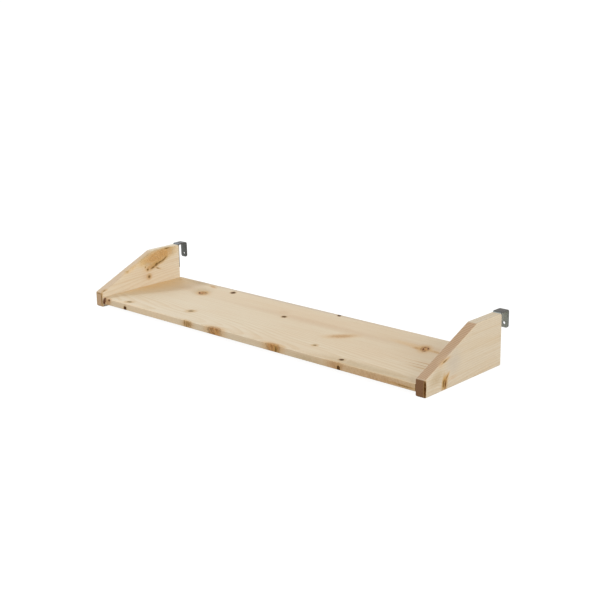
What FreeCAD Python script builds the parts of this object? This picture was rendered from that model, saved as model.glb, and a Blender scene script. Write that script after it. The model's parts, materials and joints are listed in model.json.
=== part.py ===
import FreeCAD, Part
import math
import os

# A hanging bedside shelf in pine: a board between two side panels, each with
# a bent steel hook at the back that drops over a bed's side rail.
# Millimetres. X runs along the shelf, Y from front to back, Z up.
# The origin lies on the plane that the panels stand on, under the middle of
# the whole shelf with its hooks.

# Side panels
SHELF_LENGTH = 900.0
PANEL_THICKNESS = 22.0
PANEL_DEPTH = 225.0
PANEL_HEIGHT = 98.0
PANEL_FRONT_HEIGHT = 32.0
PANEL_TOP_DEPTH = 75.0
PANEL_EDGE_RADIUS = 3.0

# Board
BOARD_THICKNESS = 14.0
BOARD_RISE = 8.0
BOARD_EDGE_RADIUS = 1.5
BOARD_PROUD = 1.0

# Hooks, bent from flat steel
HOOK_PLATE = 3.0
HOOK_WIDTH = 18.0
HOOK_SLOT = 21.0
HOOK_RISE = 2.5
HOOK_FREE_LEG = 35.5
HOOK_BEND_RADIUS = 1.5
HOOK_CORNER_RADIUS = 5.0
LOCK_HOLE_DIAMETER = 5.5
LOCK_HOLE_FROM_END = 8.5

# Countersunk screws that hold each hook to its panel
SCREW_DIAMETER = 4.5
SCREW_HEAD_DIAMETER = 9.0
SCREW_LENGTH = 45.0
SCREW_FIRST_DROP = 20.0
SCREW_SPACING = 28.0
SCREW_TO_LEG_END = 10.0
SCREW_HOLE_CLEARANCE = 0.25
SCREW_HEAD_SINK = 0.1

# Cam locks and their bolts, which draw the board against the panels
CONNECTOR_INSET = 45.0
CAM_HOLE_DIAMETER = 12.0
CAM_TO_BOARD_END = 24.0
CAM_RIM = 0.8
CAM_WALL = 2.6
CAM_ECCENTRICITY = 0.3
CAM_SLOT_SWEEP = 200.0
CAM_DRIVE_LENGTH = 7.0
CAM_DRIVE_WIDTH = 1.4
CAM_DRIVE_DEPTH = 2.0
CAM_FACE_SINK = 0.1
BOLT_DIAMETER = 4.0
BOLT_HEAD_DIAMETER = 6.0
BOLT_HEAD_LENGTH = 2.4
BOLT_THREAD_LENGTH = 11.0

# Fluted dowels that take the load of the board
DOWEL_DIAMETER = 6.0
DOWEL_LENGTH = 30.0
DOWEL_IN_PANEL = 11.0
DOWEL_SPACING = 32.0
DOWEL_FLUTES = 12
DOWEL_FLUTE_DEPTH = 0.35
DOWEL_LAND_SHARE = 0.5
DOWEL_END_ROOM = 1.0

# Clearances and overruns shared by the drilled holes
PILOT_CLEARANCE = 0.05
CAM_CLEARANCE = 0.1
HOLE_END_ROOM = 0.4
CUT_OVERRUN = 1.0
MATCH = 0.001

# Places worked out from the sizes above
FIXED_LEG = SCREW_FIRST_DROP + SCREW_SPACING + SCREW_TO_LEG_END
HOOK_DEPTH = HOOK_PLATE + HOOK_SLOT + HOOK_PLATE
FRONT_Y = -(PANEL_DEPTH + HOOK_DEPTH) / 2
REAR_Y = FRONT_Y + PANEL_DEPTH
OUTER_X = SHELF_LENGTH / 2
INNER_X = OUTER_X - PANEL_THICKNESS
PANEL_MIDDLE_X = OUTER_X - PANEL_THICKNESS / 2
BOARD_DEPTH = PANEL_DEPTH + HOOK_PLATE + BOARD_PROUD
BOARD_MIDDLE_Z = BOARD_RISE + BOARD_THICKNESS / 2
HOOK_TOP_Z = PANEL_HEIGHT + HOOK_RISE
BOLT_YS = {"front": FRONT_Y + CONNECTOR_INSET, "back": FRONT_Y + BOARD_DEPTH - CONNECTOR_INSET}
DOWEL_YS = {"front": BOLT_YS["front"] + DOWEL_SPACING, "back": BOLT_YS["back"] - DOWEL_SPACING}
SCREW_ZS = {"upper": HOOK_TOP_Z - SCREW_FIRST_DROP, "lower": HOOK_TOP_Z - SCREW_FIRST_DROP - SCREW_SPACING}

X_AXIS = FreeCAD.Vector(1, 0, 0)
Y_AXIS = FreeCAD.Vector(0, 1, 0)
Z_AXIS = FreeCAD.Vector(0, 0, 1)
ORIGIN = FreeCAD.Vector(0, 0, 0)
FULL_TURN = 360.0
HALF_TURN = 180.0


def rounded_outline(corners):
    """Closed wire through corners of (point, radius), with an arc at each corner that has a radius."""
    points = [point for point, radius in corners]
    count = len(points)
    ends = []
    for index, (point, radius) in enumerate(corners):
        to_last = (points[index - 1] - point).normalize()
        to_next = (points[(index + 1) % count] - point).normalize()
        half_angle = to_last.getAngle(to_next) / 2
        reach = radius / math.tan(half_angle)
        middle = (to_last + to_next).normalize() * (radius / math.sin(half_angle) - radius)
        ends.append((point + to_last * reach, point + middle, point + to_next * reach, radius))
    edges = []
    for index, (start, middle, end, radius) in enumerate(ends):
        if radius > 0:
            edges.append(Part.Arc(start, middle, end).toShape())
        next_start = ends[(index + 1) % count][0]
        edges.append(Part.LineSegment(end, next_start).toShape())
    return Part.Wire(edges)


def revolve_profile(points, centre, direction):
    """Solid of revolution about direction through centre, from (along, radius) points of its half section."""
    corners = [FreeCAD.Vector(radius, 0, along) for along, radius in points]
    corners.append(corners[0])
    section = Part.Face(Part.makePolygon(corners))
    solid = section.revolve(ORIGIN, Z_AXIS, FULL_TURN)
    turn = FreeCAD.Rotation(Z_AXIS, direction)
    solid.Placement = FreeCAD.Placement(centre, turn)
    return solid


def panel_outline(x):
    """Side panel's outline at x: low square front, long slope, flat top, straight back."""
    corners = [
        FreeCAD.Vector(x, FRONT_Y, 0),
        FreeCAD.Vector(x, FRONT_Y, PANEL_FRONT_HEIGHT),
        FreeCAD.Vector(x, REAR_Y - PANEL_TOP_DEPTH, PANEL_HEIGHT),
        FreeCAD.Vector(x, REAR_Y, PANEL_HEIGHT),
        FreeCAD.Vector(x, REAR_Y, 0),
    ]
    corners.append(corners[0])
    return Part.makePolygon(corners)


def lies_at(edge, axis, value):
    """Whether all of an edge's ends have this coordinate."""
    return all(abs(getattr(vertex, axis) - value) < MATCH for vertex in edge.Vertexes)


def panel_blank(side):
    """Side panel not yet drilled, with every edge rounded but those of its flat back and the kink of its top."""
    inner_x = side * INNER_X
    outer_x = side * OUTER_X
    blank = Part.Face(panel_outline(min(inner_x, outer_x))).extrude(X_AXIS * PANEL_THICKNESS)
    rounded = []
    for edge in blank.Edges:
        on_a_face = lies_at(edge, "X", inner_x) or lies_at(edge, "X", outer_x)
        on_the_back = lies_at(edge, "Y", REAR_Y)
        if lies_at(edge, "Y", FRONT_Y) or (on_a_face and not on_the_back):
            rounded.append(edge)
    return blank.makeFillet(PANEL_EDGE_RADIUS, rounded)


def side_panel(side):
    """Side panel, drilled for its bolts and dowels inside and for its hook's screws at the back."""
    panel = panel_blank(side)
    inward = X_AXIS * -side
    holes = []
    for y in BOLT_YS.values():
        depth = BOLT_THREAD_LENGTH + HOLE_END_ROOM
        radius = BOLT_DIAMETER / 2 + PILOT_CLEARANCE
        start = FreeCAD.Vector(side * (INNER_X + depth), y, BOARD_MIDDLE_Z)
        holes.append(Part.makeCylinder(radius, depth + CUT_OVERRUN, start, inward))
    for y in DOWEL_YS.values():
        depth = DOWEL_IN_PANEL + DOWEL_END_ROOM
        radius = DOWEL_DIAMETER / 2 + PILOT_CLEARANCE
        start = FreeCAD.Vector(side * (INNER_X + depth), y, BOARD_MIDDLE_Z)
        holes.append(Part.makeCylinder(radius, depth + CUT_OVERRUN, start, inward))
    for z in SCREW_ZS.values():
        depth = SCREW_LENGTH - HOOK_PLATE + HOLE_END_ROOM
        radius = SCREW_DIAMETER / 2 + PILOT_CLEARANCE
        start = FreeCAD.Vector(side * PANEL_MIDDLE_X, REAR_Y - depth, z)
        holes.append(Part.makeCylinder(radius, depth + CUT_OVERRUN, start, Y_AXIS))
    return panel.cut(holes)


def board_outline(x):
    """Board's section at x, with its four long edges eased."""
    top_z = BOARD_RISE + BOARD_THICKNESS
    back_y = FRONT_Y + BOARD_DEPTH
    return rounded_outline([
        (FreeCAD.Vector(x, FRONT_Y, BOARD_RISE), BOARD_EDGE_RADIUS),
        (FreeCAD.Vector(x, FRONT_Y, top_z), BOARD_EDGE_RADIUS),
        (FreeCAD.Vector(x, back_y, top_z), BOARD_EDGE_RADIUS),
        (FreeCAD.Vector(x, back_y, BOARD_RISE), BOARD_EDGE_RADIUS),
    ])


def cam_height():
    """Height of a cam lock, from the board's underside to just over its bolt's head."""
    return BOARD_THICKNESS / 2 + BOLT_HEAD_DIAMETER / 2 + CAM_CLEARANCE + CAM_RIM


def shelf_board():
    """Board between the panels, bored from below for the cam locks and from its ends for bolts and dowels."""
    board = Part.Face(board_outline(-INNER_X)).extrude(X_AXIS * INNER_X * 2)
    holes = []
    for side in (-1, 1):
        outward = X_AXIS * side
        for y in BOLT_YS.values():
            cam_x = side * (INNER_X - CAM_TO_BOARD_END)
            foot = FreeCAD.Vector(cam_x, y, BOARD_RISE - CUT_OVERRUN)
            depth = cam_height() + HOLE_END_ROOM
            holes.append(Part.makeCylinder(CAM_HOLE_DIAMETER / 2, depth + CUT_OVERRUN, foot, Z_AXIS))
            start = FreeCAD.Vector(cam_x, y, BOARD_MIDDLE_Z)
            radius = BOLT_DIAMETER / 2 + SCREW_HOLE_CLEARANCE
            holes.append(Part.makeCylinder(radius, CAM_TO_BOARD_END + CUT_OVERRUN, start, outward))
        for y in DOWEL_YS.values():
            depth = DOWEL_LENGTH - DOWEL_IN_PANEL + DOWEL_END_ROOM
            radius = DOWEL_DIAMETER / 2 + PILOT_CLEARANCE
            start = FreeCAD.Vector(side * (INNER_X - depth), y, BOARD_MIDDLE_Z)
            holes.append(Part.makeCylinder(radius, depth + CUT_OVERRUN, start, outward))
    return board.cut(holes)


def hook_outline(x):
    """Hook's side outline at x: long leg on the panel, bridge over the slot, short free leg."""
    outer_radius = HOOK_BEND_RADIUS + HOOK_PLATE
    slot_front = REAR_Y + HOOK_PLATE
    slot_back = slot_front + HOOK_SLOT
    back = slot_back + HOOK_PLATE
    under = HOOK_TOP_Z - HOOK_PLATE
    fixed_end = HOOK_TOP_Z - FIXED_LEG
    free_end = HOOK_TOP_Z - HOOK_FREE_LEG
    return rounded_outline([
        (FreeCAD.Vector(x, REAR_Y, fixed_end), 0),
        (FreeCAD.Vector(x, REAR_Y, HOOK_TOP_Z), outer_radius),
        (FreeCAD.Vector(x, back, HOOK_TOP_Z), outer_radius),
        (FreeCAD.Vector(x, back, free_end), 0),
        (FreeCAD.Vector(x, slot_back, free_end), 0),
        (FreeCAD.Vector(x, slot_back, under), HOOK_BEND_RADIUS),
        (FreeCAD.Vector(x, slot_front, under), HOOK_BEND_RADIUS),
        (FreeCAD.Vector(x, slot_front, fixed_end), 0),
    ])


def leg_end_edges(shape):
    """Short edges through the plate at the four corners of the hook's two leg ends."""
    ends = (HOOK_TOP_Z - FIXED_LEG, HOOK_TOP_Z - HOOK_FREE_LEG)
    found = []
    for edge in shape.Edges:
        through_plate = abs(edge.Length - HOOK_PLATE) < MATCH
        at_an_end = any(lies_at(edge, "Z", z) for z in ends)
        if through_plate and at_an_end:
            found.append(edge)
    return found


def hook(side):
    """Hook of flat steel, bent in an upside-down U, punched for its two screws and one locking screw."""
    low_x = side * PANEL_MIDDLE_X - HOOK_WIDTH / 2
    body = Part.Face(hook_outline(low_x)).extrude(X_AXIS * HOOK_WIDTH)
    body = body.makeFillet(HOOK_CORNER_RADIUS, leg_end_edges(body))
    middle_x = side * PANEL_MIDDLE_X
    cuts = []
    for z in SCREW_ZS.values():
        cuts.append(screw_hole(FreeCAD.Vector(middle_x, REAR_Y + HOOK_PLATE, z)))
    lock_z = HOOK_TOP_Z - HOOK_FREE_LEG + LOCK_HOLE_FROM_END
    lock_start = FreeCAD.Vector(middle_x, REAR_Y + HOOK_PLATE + HOOK_SLOT - CUT_OVERRUN, lock_z)
    lock_length = HOOK_PLATE + CUT_OVERRUN * 2
    cuts.append(Part.makeCylinder(LOCK_HOLE_DIAMETER / 2, lock_length, lock_start, Y_AXIS))
    return body.cut(cuts)


def screw_hole(mouth):
    """Countersunk hole through a hook's fixed leg, with its mouth on the leg's back face."""
    hole_radius = SCREW_DIAMETER / 2 + SCREW_HOLE_CLEARANCE
    mouth_radius = SCREW_HEAD_DIAMETER / 2 + PILOT_CLEARANCE
    return revolve_profile([
        (-CUT_OVERRUN, 0),
        (-CUT_OVERRUN, mouth_radius + CUT_OVERRUN),
        (mouth_radius - hole_radius, hole_radius),
        (HOOK_PLATE + CUT_OVERRUN, hole_radius),
        (HOOK_PLATE + CUT_OVERRUN, 0),
    ], mouth, -Y_AXIS)


def hook_screw(side, z):
    """Countersunk wood screw through a hook into the back of its panel, as wide as its thread."""
    head_radius = SCREW_HEAD_DIAMETER / 2
    thread_radius = SCREW_DIAMETER / 2
    seat = FreeCAD.Vector(side * PANEL_MIDDLE_X, REAR_Y + HOOK_PLATE - SCREW_HEAD_SINK, z)
    return revolve_profile([
        (0, 0),
        (0, head_radius),
        (head_radius - thread_radius, thread_radius),
        (SCREW_LENGTH, thread_radius),
        (SCREW_LENGTH, 0),
    ], seat, -Y_AXIS)


def cam_centre(side, y):
    """Centre of a cam lock's face in the board's underside."""
    return FreeCAD.Vector(side * (INNER_X - CAM_TO_BOARD_END), y, BOARD_RISE + CAM_FACE_SINK)


def cam_grip_radius():
    """Distance from the cam's axis to the wall that the bolt's head bears on."""
    return CAM_HOLE_DIAMETER / 2 - CAM_CLEARANCE - CAM_WALL


def cam_lock(side, y):
    """Cast cam that turns in the board and grips the bolt's head behind an eccentric wall."""
    centre = cam_centre(side, y)
    radius = CAM_HOLE_DIAMETER / 2 - CAM_CLEARANCE
    body = Part.makeCylinder(radius, cam_height() - CAM_FACE_SINK, centre, Z_AXIS)
    toward_bolt = X_AXIS * side
    head_room = BOLT_HEAD_DIAMETER / 2 + CAM_CLEARANCE
    rod_room = BOLT_DIAMETER / 2 + CAM_CLEARANCE
    cavity_foot = FreeCAD.Vector(centre.x, centre.y, BOARD_MIDDLE_Z - head_room) - toward_bolt * CAM_ECCENTRICITY
    cavity_radius = cam_grip_radius() + CAM_ECCENTRICITY
    open_height = head_room * 2 + CAM_RIM + CUT_OVERRUN
    cavity = Part.makeCylinder(cavity_radius, open_height, cavity_foot, Z_AXIS)
    slot = Part.makeCylinder(radius + CUT_OVERRUN, rod_room * 2, ORIGIN, Z_AXIS, CAM_SLOT_SWEEP)
    lead_in = math.degrees(math.asin(min(1, rod_room / cam_grip_radius())))
    heading = -lead_in if side > 0 else HALF_TURN - lead_in
    slot_foot = FreeCAD.Vector(centre.x, centre.y, BOARD_MIDDLE_Z - rod_room)
    slot.Placement = FreeCAD.Placement(slot_foot, FreeCAD.Rotation(Z_AXIS, heading))
    mouth = Part.makeBox(radius + CUT_OVERRUN, head_room * 2, open_height, FreeCAD.Vector(0, -head_room, -head_room))
    mouth_heading = heading + CAM_SLOT_SWEEP - lead_in
    mouth_foot = FreeCAD.Vector(centre.x, centre.y, BOARD_MIDDLE_Z)
    mouth.Placement = FreeCAD.Placement(mouth_foot, FreeCAD.Rotation(Z_AXIS, mouth_heading))
    return body.cut([cavity, slot, mouth, cam_drive(centre)])


def cam_drive(centre):
    """Slot across the cam's face for the screwdriver that turns it."""
    low_corner = centre - FreeCAD.Vector(CAM_DRIVE_LENGTH / 2, CAM_DRIVE_WIDTH / 2, CUT_OVERRUN)
    return Part.makeBox(CAM_DRIVE_LENGTH, CAM_DRIVE_WIDTH, CAM_DRIVE_DEPTH + CUT_OVERRUN, low_corner)


def cam_bolt(side, y):
    """Bolt screwed into the panel, as wide as its thread there, with a round head that the cam grips."""
    rod_radius = BOLT_DIAMETER / 2
    head_radius = BOLT_HEAD_DIAMETER / 2
    head_seat = CAM_TO_BOARD_END - cam_grip_radius()
    head_end = head_seat + BOLT_HEAD_LENGTH
    return revolve_profile([
        (-BOLT_THREAD_LENGTH, 0),
        (-BOLT_THREAD_LENGTH, rod_radius),
        (head_seat, rod_radius),
        (head_seat, head_radius),
        (head_end, head_radius),
        (head_end, 0),
    ], FreeCAD.Vector(side * INNER_X, y, BOARD_MIDDLE_Z), X_AXIS * -side)


def dowel(side, y):
    """Fluted hardwood dowel, part in the panel and part in the board."""
    radius = DOWEL_DIAMETER / 2
    centre = FreeCAD.Vector(side * (INNER_X + DOWEL_IN_PANEL), y, BOARD_MIDDLE_Z)
    half_pitch = math.pi / DOWEL_FLUTES
    half_land = half_pitch * DOWEL_LAND_SHARE
    corners = []
    for index in range(DOWEL_FLUTES):
        for turn, reach in (
            (-half_land, radius),
            (half_land, radius),
            (half_pitch, radius - DOWEL_FLUTE_DEPTH),
        ):
            heading = turn + half_pitch * 2 * index
            corners.append(centre + FreeCAD.Vector(0, math.cos(heading), math.sin(heading)) * reach)
    corners.append(corners[0])
    return Part.Face(Part.makePolygon(corners)).extrude(X_AXIS * -side * DOWEL_LENGTH)


def build_nodes():
    """Every piece of the shelf by its node's name."""
    nodes = {"shelf_board": shelf_board()}
    for name, side in (("left", -1), ("right", 1)):
        nodes["side_panel_" + name] = side_panel(side)
        nodes["hook_" + name] = hook(side)
        for level, z in SCREW_ZS.items():
            nodes["hook_screw_" + name + "_" + level] = hook_screw(side, z)
        for place, y in BOLT_YS.items():
            nodes["cam_bolt_" + name + "_" + place] = cam_bolt(side, y)
            nodes["cam_lock_" + name + "_" + place] = cam_lock(side, y)
        for place, y in DOWEL_YS.items():
            nodes["dowel_" + name + "_" + place] = dowel(side, y)
    return nodes


def main():
    """Write each piece to its own file."""
    os.makedirs("parts", exist_ok=True)
    for name, shape in build_nodes().items():
        shape.exportStep("parts/" + name + ".step")
        box = shape.BoundBox
        print(name, len(shape.Solids), "solid", shape.isValid(), round(shape.Volume, 1),
              [round(value, 2) for value in (box.XMin, box.XMax, box.YMin, box.YMax, box.ZMin, box.ZMax)])


main()
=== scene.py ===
"""Hanging bedside shelf in knotty pine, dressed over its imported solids.

A board lies between two side panels with sloped tops, and a bent steel hook stands at the back of each
panel. Cam locks, bolts, dowels and wood screws hold it together. Everything is in metres, in the frame of
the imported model: X along the shelf, Y from front to back, Z up.
"""

import json
import logging
import math
from contextlib import contextmanager
from dataclasses import dataclass
from enum import Enum
from typing import Callable, ClassVar, Iterator, Mapping, NamedTuple, Optional, Sequence, Union

import bmesh
import bpy
from mathutils import Matrix, Vector

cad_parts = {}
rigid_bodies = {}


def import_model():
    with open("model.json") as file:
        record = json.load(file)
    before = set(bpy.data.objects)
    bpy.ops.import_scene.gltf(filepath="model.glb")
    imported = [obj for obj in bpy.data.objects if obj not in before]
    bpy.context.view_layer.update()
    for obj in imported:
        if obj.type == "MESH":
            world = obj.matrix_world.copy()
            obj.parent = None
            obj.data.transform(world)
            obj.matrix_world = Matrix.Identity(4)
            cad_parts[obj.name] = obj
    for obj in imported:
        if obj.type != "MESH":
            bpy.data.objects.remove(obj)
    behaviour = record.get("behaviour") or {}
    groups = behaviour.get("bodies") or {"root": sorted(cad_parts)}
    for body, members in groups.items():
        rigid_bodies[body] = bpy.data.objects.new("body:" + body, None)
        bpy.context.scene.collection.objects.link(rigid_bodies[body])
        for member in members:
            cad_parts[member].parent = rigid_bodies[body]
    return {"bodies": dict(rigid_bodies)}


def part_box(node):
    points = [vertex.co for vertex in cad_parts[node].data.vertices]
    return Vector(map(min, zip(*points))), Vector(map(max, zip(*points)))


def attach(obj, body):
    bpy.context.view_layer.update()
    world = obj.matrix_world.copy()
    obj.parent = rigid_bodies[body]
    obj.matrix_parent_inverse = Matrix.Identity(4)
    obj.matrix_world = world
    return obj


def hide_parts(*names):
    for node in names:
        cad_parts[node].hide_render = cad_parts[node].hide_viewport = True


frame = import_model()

LOG = logging.getLogger("hanging_shelf")
BODY = next(iter(frame["bodies"]))
MM = 0.001
CLOSE = 0.02 * MM
CREASE = math.radians(32)
FRONT_AND_BACK = ("front", "back")
UPPER_AND_LOWER = ("upper", "lower")
ROUND_SIDES = 32

Colour = tuple[float, float, float]
Place = tuple[float, float, float]
EdgeTest = Callable[[Vector, Vector], bool]


def srgb(red: int, green: int, blue: int) -> Colour:
    """A colour picked on screen, as the linear values that a shader takes.

    Args:
        red: red from 0 to 255.
        green: green from 0 to 255.
        blue: blue from 0 to 255.

    Returns:
        The same colour in linear light.
    """
    def linear(level: int) -> float:
        """One channel in linear light."""
        share = level / 255
        return share / 12.92 if share <= 0.04045 else ((share + 0.055) / 1.055) ** 2.4

    return linear(red), linear(green), linear(blue)


def in_mm(x: float, y: float, z: float) -> Vector:
    """A place or size given in millimetres."""
    return Vector((x, y, z)) * MM


class Axis(Enum):
    """A direction of the frame, by the number of its coordinate."""

    X = 0
    Y = 1
    Z = 2

    @property
    def vector(self) -> Vector:
        """The direction as a vector of length one."""
        return Vector([1.0 if index == self.value else 0.0 for index in range(3)])

    def runs(self, start: Vector, end: Vector) -> bool:
        """Whether an edge from start to end runs along this axis."""
        return abs((end - start).normalized()[self.value]) > 0.9999

    def holds(self, value: float, *points: Vector) -> bool:
        """Whether every point has this value on this axis."""
        return all(abs(point[self.value] - value) < CLOSE for point in points)


@dataclass(frozen=True)
class Box:
    """The box round a node, between its lowest and its highest corner."""

    low: Vector
    high: Vector

    @staticmethod
    def of(node: str) -> "Box":
        """The box of one node of the frame."""
        return Box(*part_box(node))

    @property
    def middle(self) -> Vector:
        """The point in its middle."""
        return (self.low + self.high) / 2

    @property
    def size(self) -> Vector:
        """Its length along each axis."""
        return self.high - self.low


class Side(Enum):
    """The two ends of the shelf, by the sign of X."""

    LEFT = -1
    RIGHT = 1

    @property
    def word(self) -> str:
        """The side's name as it stands in the nodes' names."""
        return self.name.lower()

    @property
    def outward(self) -> Vector:
        """The direction along the shelf, away from its middle."""
        return Axis.X.vector * self.value

    def outer_end(self, box: Box) -> Vector:
        """The middle of a box's end away from the shelf's middle."""
        return Vector((box.high.x if self is Side.RIGHT else box.low.x, box.middle.y, box.middle.z))

    def inner_end(self, box: Box) -> Vector:
        """The middle of a box's end toward the shelf's middle."""
        return Vector((box.low.x if self is Side.RIGHT else box.high.x, box.middle.y, box.middle.z))


class Workbench:
    """Mesh work on one object at a time, with the operators that a modeller would use by hand."""

    def deselect(self) -> None:
        """Leave nothing selected."""
        bpy.ops.object.select_all(action="DESELECT")

    def pick(self, piece: bpy.types.Object) -> None:
        """Make a piece the only selected one, and the active one."""
        self.deselect()
        piece.select_set(True)
        bpy.context.view_layer.objects.active = piece

    def settle(self, name: str) -> bpy.types.Object:
        """Name the active object and put its place into its mesh.

        Args:
            name: the piece's name.

        Returns:
            The object, which now sits at the origin.
        """
        piece = bpy.context.active_object
        piece.name = name
        piece.data.name = name
        bpy.ops.object.transform_apply(location=True, rotation=True, scale=True)
        return piece

    @contextmanager
    def shaping(self) -> Iterator[None]:
        """Edit mode with all of the active piece selected. When it ends, the faces point outward."""
        bpy.ops.object.mode_set(mode="EDIT")
        bpy.ops.mesh.select_all(action="SELECT")
        yield
        bpy.ops.mesh.select_all(action="SELECT")
        bpy.ops.mesh.normals_make_consistent(inside=False)
        bpy.ops.object.mode_set(mode="OBJECT")

    def modify(self, piece: bpy.types.Object, kind: str, **settings: object) -> None:
        """Give a piece a modifier and apply it.

        Args:
            piece: the object to work on.
            kind: the modifier's type.
            **settings: the modifier's own settings.
        """
        self.pick(piece)
        bpy.ops.object.modifier_add(type=kind)
        modifier = piece.modifiers[-1]
        for word, value in settings.items():
            setattr(modifier, word, value)
        bpy.ops.object.modifier_apply(modifier=modifier.name)

    def block(self, name: str, low: Vector, high: Vector) -> bpy.types.Object:
        """A rectangular blank between two corners.

        Args:
            name: the piece's name.
            low: the lowest corner.
            high: the highest corner.

        Returns:
            The blank.
        """
        self.deselect()
        bpy.ops.mesh.primitive_cube_add(size=1, location=(low + high) / 2, scale=high - low)
        return self.settle(name)

    def rod(self, name: str, start: Vector, end: Vector, radius: float, sides: int) -> bpy.types.Object:
        """A round blank from one point to another.

        Args:
            name: the piece's name.
            start: the middle of its first end.
            end: the middle of its other end.
            radius: its radius.
            sides: how many sides its circle has.

        Returns:
            The blank.
        """
        self.deselect()
        along = end - start
        bpy.ops.mesh.primitive_cylinder_add(
            vertices=sides, radius=radius, depth=along.length, location=(start + end) / 2,
            rotation=along.to_track_quat("Z", "Y").to_euler())
        return self.settle(name)

    def lay_out(self, piece: bpy.types.Object, start: Vector, toward: Vector) -> None:
        """Turn a piece made up the Z axis so that it runs from a point in a direction.

        Args:
            piece: the object, still centred on the Z axis.
            start: where its foot goes.
            toward: the direction that its Z axis takes.
        """
        self.pick(piece)
        piece.rotation_euler = toward.to_track_quat("Z", "Y").to_euler()
        piece.location = start
        self.settle(piece.name)

    def turn(self, name: str, start: Vector, toward: Vector, profile: Sequence[tuple[float, float]],
             sides: int) -> bpy.types.Object:
        """A turned blank: a disc extruded and scaled from ring to ring.

        Args:
            name: the piece's name.
            start: the point that the profile's distances are counted from.
            toward: the direction of its axis.
            profile: distance along the axis and radius, ring after ring.
            sides: how many sides each ring has.

        Returns:
            The blank.
        """
        self.deselect()
        bpy.ops.mesh.primitive_circle_add(
            vertices=sides, radius=profile[0][1], fill_type="NGON", location=(0, 0, profile[0][0]))
        piece = self.settle(name)
        with self.shaping():
            for (low, wide), (high, narrow) in zip(profile, profile[1:]):
                bpy.ops.mesh.extrude_region_move(TRANSFORM_OT_translate={"value": (0, 0, high - low)})
                scale = narrow / wide
                bpy.ops.transform.resize(value=(scale, scale, 1), center_override=(0, 0, high))
        self.lay_out(piece, start, toward)
        return piece

    def thread(self, piece: bpy.types.Object, start: Vector, toward: Vector, core: float, crest: float,
               pitch: float, length: float) -> None:
        """Wind a thread's ridge round a piece and join it on.

        Args:
            piece: the rod that carries the thread.
            start: where the thread begins on the rod's axis.
            toward: the direction of the axis.
            core: the rod's radius under the thread.
            crest: the thread's outer radius.
            pitch: the distance from turn to turn.
            length: how far the thread may go. It makes whole turns.
        """
        self.deselect()
        stand = Matrix(((0, 1, 0), (0, 0, 1), (1, 0, 0))).to_euler()
        sunk = 0.1 * MM
        # The ridge's section is an equilateral triangle, which is 1.5 radii high.
        reach = (crest - core + sunk) / 1.5
        bpy.ops.mesh.primitive_circle_add(
            vertices=3, radius=reach, location=(crest - reach, 0, 0), rotation=stand)
        ridge = self.settle("thread_ridge")
        self.modify(ridge, "SCREW", axis="Z", screw_offset=pitch, iterations=int(length / pitch), steps=20,
                    render_steps=20)
        with self.shaping():
            bpy.ops.mesh.fill_holes(sides=3)
        self.lay_out(ridge, start, toward)
        self.pick(piece)
        ridge.select_set(True)
        bpy.ops.object.join()

    def choose(self, piece: bpy.types.Object, test: EdgeTest) -> int:
        """Enter edit mode with just those edges selected that pass a test on their ends.

        Args:
            piece: the object to work on.
            test: whether an edge between two points is chosen.

        Returns:
            How many edges are selected.
        """
        self.pick(piece)
        bpy.ops.object.mode_set(mode="EDIT")
        bpy.ops.mesh.select_mode(type="EDGE")
        bpy.ops.mesh.select_all(action="DESELECT")
        mesh = bmesh.from_edit_mesh(piece.data)
        chosen = [edge for edge in mesh.edges if test(edge.verts[0].co, edge.verts[1].co)]
        for edge in chosen:
            edge.select_set(True)
        bmesh.update_edit_mesh(piece.data)
        return len(chosen)

    def round_edges(self, piece: bpy.types.Object, test: EdgeTest, radius: float, segments: int) -> None:
        """Round the edges that pass a test.

        Args:
            piece: the object to work on.
            test: whether an edge between two points is rounded.
            radius: the rounding's radius.
            segments: how many faces go round it.
        """
        if self.choose(piece, test):
            bpy.ops.mesh.bevel(offset=radius, offset_type="OFFSET", segments=segments, profile=0.5,
                               affect="EDGES", clamp_overlap=True)
        bpy.ops.object.mode_set(mode="OBJECT")

    def ease(self, piece: bpy.types.Object, width: float, angle: float) -> None:
        """Take the sharpness off every edge over an angle in degrees."""
        self.modify(piece, "BEVEL", width=width, segments=2, limit_method="ANGLE",
                    angle_limit=math.radians(angle))

    def cut(self, piece: bpy.types.Object, cutters: Sequence[bpy.types.Object]) -> None:
        """Cut other objects out of a piece and throw them away.

        Args:
            piece: the object that keeps what is left.
            cutters: the objects to take out of it.
        """
        for cutter in cutters:
            self.modify(piece, "BOOLEAN", operation="DIFFERENCE", solver="EXACT", object=cutter)
            bpy.data.objects.remove(cutter)

    def stamp(self, piece: bpy.types.Object, centre: Vector, *sizes: Vector) -> None:
        """Cut boxes of some sizes out of a piece, all about one point.

        Args:
            piece: the object that keeps what is left.
            centre: the middle of every box.
            *sizes: the boxes' sizes.
        """
        self.cut(piece, [self.block("punch", centre - size / 2, centre + size / 2) for size in sizes])

    def smooth(self, piece: bpy.types.Object) -> None:
        """Shade a piece smooth, but sharp where its faces meet at a clear angle."""
        self.pick(piece)
        bpy.ops.object.shade_smooth_by_angle(angle=CREASE)
        self.modify(piece, "WEIGHTED_NORMAL", keep_sharp=True)

    def copy(self, piece: bpy.types.Object, name: str, shift: Vector) -> bpy.types.Object:
        """Copy a piece with its own mesh and move it.

        Args:
            piece: the object to copy.
            name: the copy's name.
            shift: how far it goes.

        Returns:
            The copy.
        """
        self.pick(piece)
        bpy.ops.object.duplicate(linked=False)
        bpy.context.active_object.location = shift
        return self.settle(name)


BENCH = Workbench()


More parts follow.
